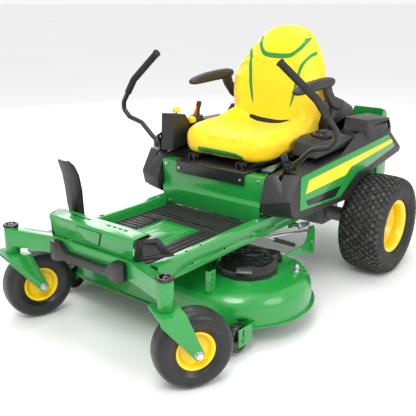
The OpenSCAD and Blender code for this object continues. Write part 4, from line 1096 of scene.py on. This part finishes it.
def smooth_line(points, widths, steps=8):
    """Points and widths along a smooth line through the given ones."""
    made = []
    n = len(points)
    for i in range(n - 1):
        p0, p1 = points[max(i - 1, 0)], points[i]
        p2, p3 = points[i + 1], points[min(i + 2, n - 1)]
        for k in range(steps + (i == n - 2)):
            t = k / steps
            value = []
            for j in (0, 1):
                value.append(0.5 * (2 * p1[j] + (p2[j] - p0[j]) * t
                                    + (2 * p0[j] - 5 * p1[j] + 4 * p2[j] - p3[j]) * t * t
                                    + (3 * p1[j] - p0[j] - 3 * p2[j] + p3[j]) * t ** 3))
            made.append((value[0], value[1], widths[i] + (widths[i + 1] - widths[i]) * t))
    return made


def lay_strip(form, skin, line, side, proud=0.0018, across=11):
    """A thin strip laid on a surface, the line giving across, up and width in millimetres."""
    rows = []
    for i, (x, z, w) in enumerate(line):
        ahead, behind = line[min(i + 1, len(line) - 1)], line[max(i - 1, 0)]
        d = Vector((ahead[0] - behind[0], ahead[1] - behind[1]))
        d = d.normalized() if d.length else Vector((0, 1))
        n = Vector((-d.y, d.x))
        row = []
        for k in range(across):
            s = (k / (across - 1) - 0.5) * w
            start = at(x + n.x * s, -900 if side == "front" else -400, z + n.y * s)
            hit, normal, _, _ = skin.ray_cast(start, Vector((0, 1, 0)))
            if hit is None:
                row = None
                break
            if normal.y > 0:
                normal = -normal
            edge = abs(k / (across - 1) - 0.5) * 2
            lift = proud if edge < 0.85 else (proud * 0.6 if edge < 0.99 else -0.0012)
            row.append(hit + normal * lift)
        if row:
            rows.append(row)
    made = [[form.verts.new(p) for p in row] for row in rows]
    for one, two in zip(made, made[1:]):
        for a, b, c, d in zip(one, one[1:], two[1:], two):
            form.faces.new((a, b, c, d))


def context_set(obj):
    bpy.ops.object.select_all(action="DESELECT")
    bpy.context.view_layer.objects.active = obj
    obj.select_set(True)


def swell(obj, cap):
    """Blows a padded piece up a little as cloth under pressure, capped, and applies it."""
    rest = [v.co.copy() for v in obj.data.vertices]
    cloth = obj.modifiers.new("swell", "CLOTH")
    cloth.settings.use_pressure = True
    cloth.settings.uniform_pressure_force = 4.0
    cloth.settings.quality = 4
    cloth.settings.tension_stiffness = 30.0
    cloth.settings.compression_stiffness = 30.0
    cloth.settings.shear_stiffness = 15.0
    cloth.settings.bending_stiffness = 4.0
    cloth.settings.effector_weights.gravity = 0.0
    cloth.point_cache.frame_start = 1
    cloth.point_cache.frame_end = 20
    scene = bpy.context.scene
    for step in range(1, 21):
        scene.frame_set(step)
    graph = bpy.context.evaluated_depsgraph_get()
    moved = [v.co.copy() for v in obj.evaluated_get(graph).data.vertices]
    obj.modifiers.remove(cloth)
    scene.frame_set(1)
    if len(moved) == len(rest):
        for vertex, a, b in zip(obj.data.vertices, rest, moved):
            d = b - a
            if d.length > cap:
                d = d.normalized() * cap
            vertex.co = a + d


class MOWER_OT_armrests(Dressing, bpy.types.Operator):
    """Padded armrests on their curved arms"""

    bl_idname = "mower.armrests"
    bl_label = "Armrests"

    def execute(self, context):
        for side, sign in (("near", 1), ("far", -1)):
            form = bmesh.new()
            rings = []
            pad = [(-458, 5, 4, 863), (-455, 13, 9, 864), (-445, 20, 14, 866), (-425, 24, 19, 869),
                   (-385, 26, 23, 874), (-320, 27, 25, 879), (-240, 27, 26, 882), (-190, 26, 25, 883),
                   (-162, 23, 21, 883), (-150, 16, 14, 883), (-145, 6, 5, 883)]
            for y, a, b, z in pad:
                ring = []
                for k in range(32):
                    t = 2 * math.pi * k / 32
                    c, s = math.cos(t), math.sin(t)
                    ring.append(at(sign * (278 + a * math.copysign(abs(c) ** 0.8, c)), y,
                                   z + b * math.copysign(abs(s) ** 0.8, s) * (0.85 if s > 0 else 1.0)))
                rings.append(ring)
            loft(form, rings)
            arm = piece("armrest_pad_" + side, form, "armrest_skin", home["armrest_" + side],
                        ("armrest_" + side,), 70.0)
            context_set(arm)
            finer = arm.modifiers.new("finer", "SUBSURF")
            finer.levels = 1
            bpy.ops.object.modifier_apply(modifier=finer.name)
            form = bmesh.new()
            path = rounded_path([at(sign * 275, -196, 872), at(sign * 275, -176, 832), at(sign * 275, -140, 792),
                                 at(sign * 275, -72, 768)], 0.05)
            rings = []
            for i, point in enumerate(path):
                t = i / (len(path) - 1)
                ahead = (path[min(i + 1, len(path) - 1)] - path[max(i - 1, 0)]).normalized()
                side_way = Vector((1, 0, 0))
                up = side_way.cross(ahead)
                wide, deep = 0.014, 0.027 - 0.004 * math.sin(math.pi * t)
                rings.append([point + side_way * wide * math.copysign(abs(math.cos(a)) ** 0.5, math.cos(a))
                              + up * deep * math.copysign(abs(math.sin(a)) ** 0.5, math.sin(a))
                              for a in [2 * math.pi * k / 28 for k in range(28)]])
            loft(form, rings)
            place = Matrix.Translation(at(sign * 275, -72, 768))
            lathe(form, [(-0.0135, 0.0083), (-0.0135, 0.0225), (-0.0115, 0.0250), (0.0115, 0.0250),
                         (0.0135, 0.0225), (0.0135, 0.0083)], place, 48)
            piece("armrest_arm_" + side, form, "armrest_skin", home["armrest_" + side], (), 40.0)
        return {"FINISHED"}


# ---- stage ----

class MOWER_OT_stage(Dressing, bpy.types.Operator):
    """Floor, lights, world and camera"""

    bl_idname = "mower.stage"
    bl_label = "Floor, lights and camera"

    def execute(self, context):
        scene = bpy.context.scene
        scene.view_settings.view_transform = "Standard"
        form = bmesh.new()
        bmesh.ops.create_grid(form, x_segments=8, y_segments=8, size=60.0)
        mesh = bpy.data.meshes.new("floor")
        form.to_mesh(mesh)
        form.free()
        floor = bpy.data.objects.new("floor", mesh)
        scene.collection.objects.link(floor)
        n = Nodes("floor")
        n.link(n.mix(n.span(n.cloud(0.6, 2.0), 0.0, 1.0), (0.88, 0.88, 0.88, 1), (0.91, 0.91, 0.91, 1)),
               n.shader.inputs["Base Color"])
        n.shader.inputs["Roughness"].default_value = 0.6
        n.shader.inputs["Specular IOR Level"].default_value = 0.2
        mesh.materials.append(n.material)

        world = bpy.data.worlds.new("studio")
        scene.world = world
        world.use_nodes = True
        world.node_tree.nodes["Background"].inputs["Color"].default_value = (1.0, 1.0, 1.0, 1)
        world.node_tree.nodes["Background"].inputs["Strength"].default_value = 0.95

        self.lamp("key", at(1500, -3400, 3600), at(0, -500, 400), 2.0, 90.0)
        self.lamp("fill", at(4200, -600, 2200), at(200, -300, 400), 2.2, 46.0)
        self.lamp("top", at(-400, -400, 4600), at(0, -500, 300), 2.6, 60.0)
        self.lamp("rim", at(-3600, 1800, 2400), at(0, 0, 600), 2.4, 45.0)

        data = bpy.data.cameras.new("camera")
        camera = bpy.data.objects.new("camera", data)
        scene.collection.objects.link(camera)
        camera.location = at(1755.0, -2826.0, 1269.1)
        a, e, roll = math.radians(39.2), math.radians(-17.9), math.radians(-0.1)
        forward = Vector((-math.sin(a) * math.cos(e), math.cos(a) * math.cos(e), math.sin(e)))
        turn = forward.to_track_quat("-Z", "Y")
        camera.rotation_mode = "QUATERNION"
        camera.rotation_quaternion = turn @ Euler((0, 0, roll)).to_quaternion()
        data.lens = 58.73
        data.sensor_width = 36.0
        data.clip_end = 60.0
        scene.camera = camera
        return {"FINISHED"}

    def lamp(self, name, place, target, size, power):
        data = bpy.data.lights.new(name, "AREA")
        data.shape = "DISK"
        data.size = size
        data.energy = power
        obj = bpy.data.objects.new(name, data)
        bpy.context.scene.collection.objects.link(obj)
        obj.location = place
        obj.rotation_mode = "QUATERNION"
        obj.rotation_quaternion = (target - place).to_track_quat("-Z", "Y")


class MOWER_PT_panel(bpy.types.Panel):
    """Lists what dresses the mower"""

    bl_idname = "MOWER_PT_panel"
    bl_label = "Mower"
    bl_space_type = "VIEW_3D"
    bl_region_type = "UI"
    bl_category = "Mower"

    def draw(self, context):
        layout = self.layout
        for group in (context.scene.mower_sizes, context.scene.mower_colours):
            for key in group.__annotations__:
                layout.prop(group, key)
        for operator in operators:
            layout.operator(operator.bl_idname)


operators = (
    MOWER_OT_frame_metal, MOWER_OT_deck_metal, MOWER_OT_casters, MOWER_OT_mouldings, MOWER_OT_belt_covers,
    MOWER_OT_controls, MOWER_OT_levers, MOWER_OT_seat_mount, MOWER_OT_floor, MOWER_OT_engine,
    MOWER_OT_front_wheels, MOWER_OT_rear_wheels, MOWER_OT_seat, MOWER_OT_armrests, MOWER_OT_stage,
)
classes = (MowerColours, MowerSizes) + operators + (MOWER_PT_panel,)


def register():
    for cls in classes:
        bpy.utils.register_class(cls)
    bpy.types.Scene.mower_colours = bpy.props.PointerProperty(type=MowerColours)
    bpy.types.Scene.mower_sizes = bpy.props.PointerProperty(type=MowerSizes)


def unregister():
    del bpy.types.Scene.mower_sizes
    del bpy.types.Scene.mower_colours
    for cls in reversed(classes):
        bpy.utils.unregister_class(cls)


def main():
    register()
    for operator in operators:
        group, name = operator.bl_idname.split(".")
        getattr(getattr(bpy.ops, group), name)()


if __name__ == "__main__":
    main()
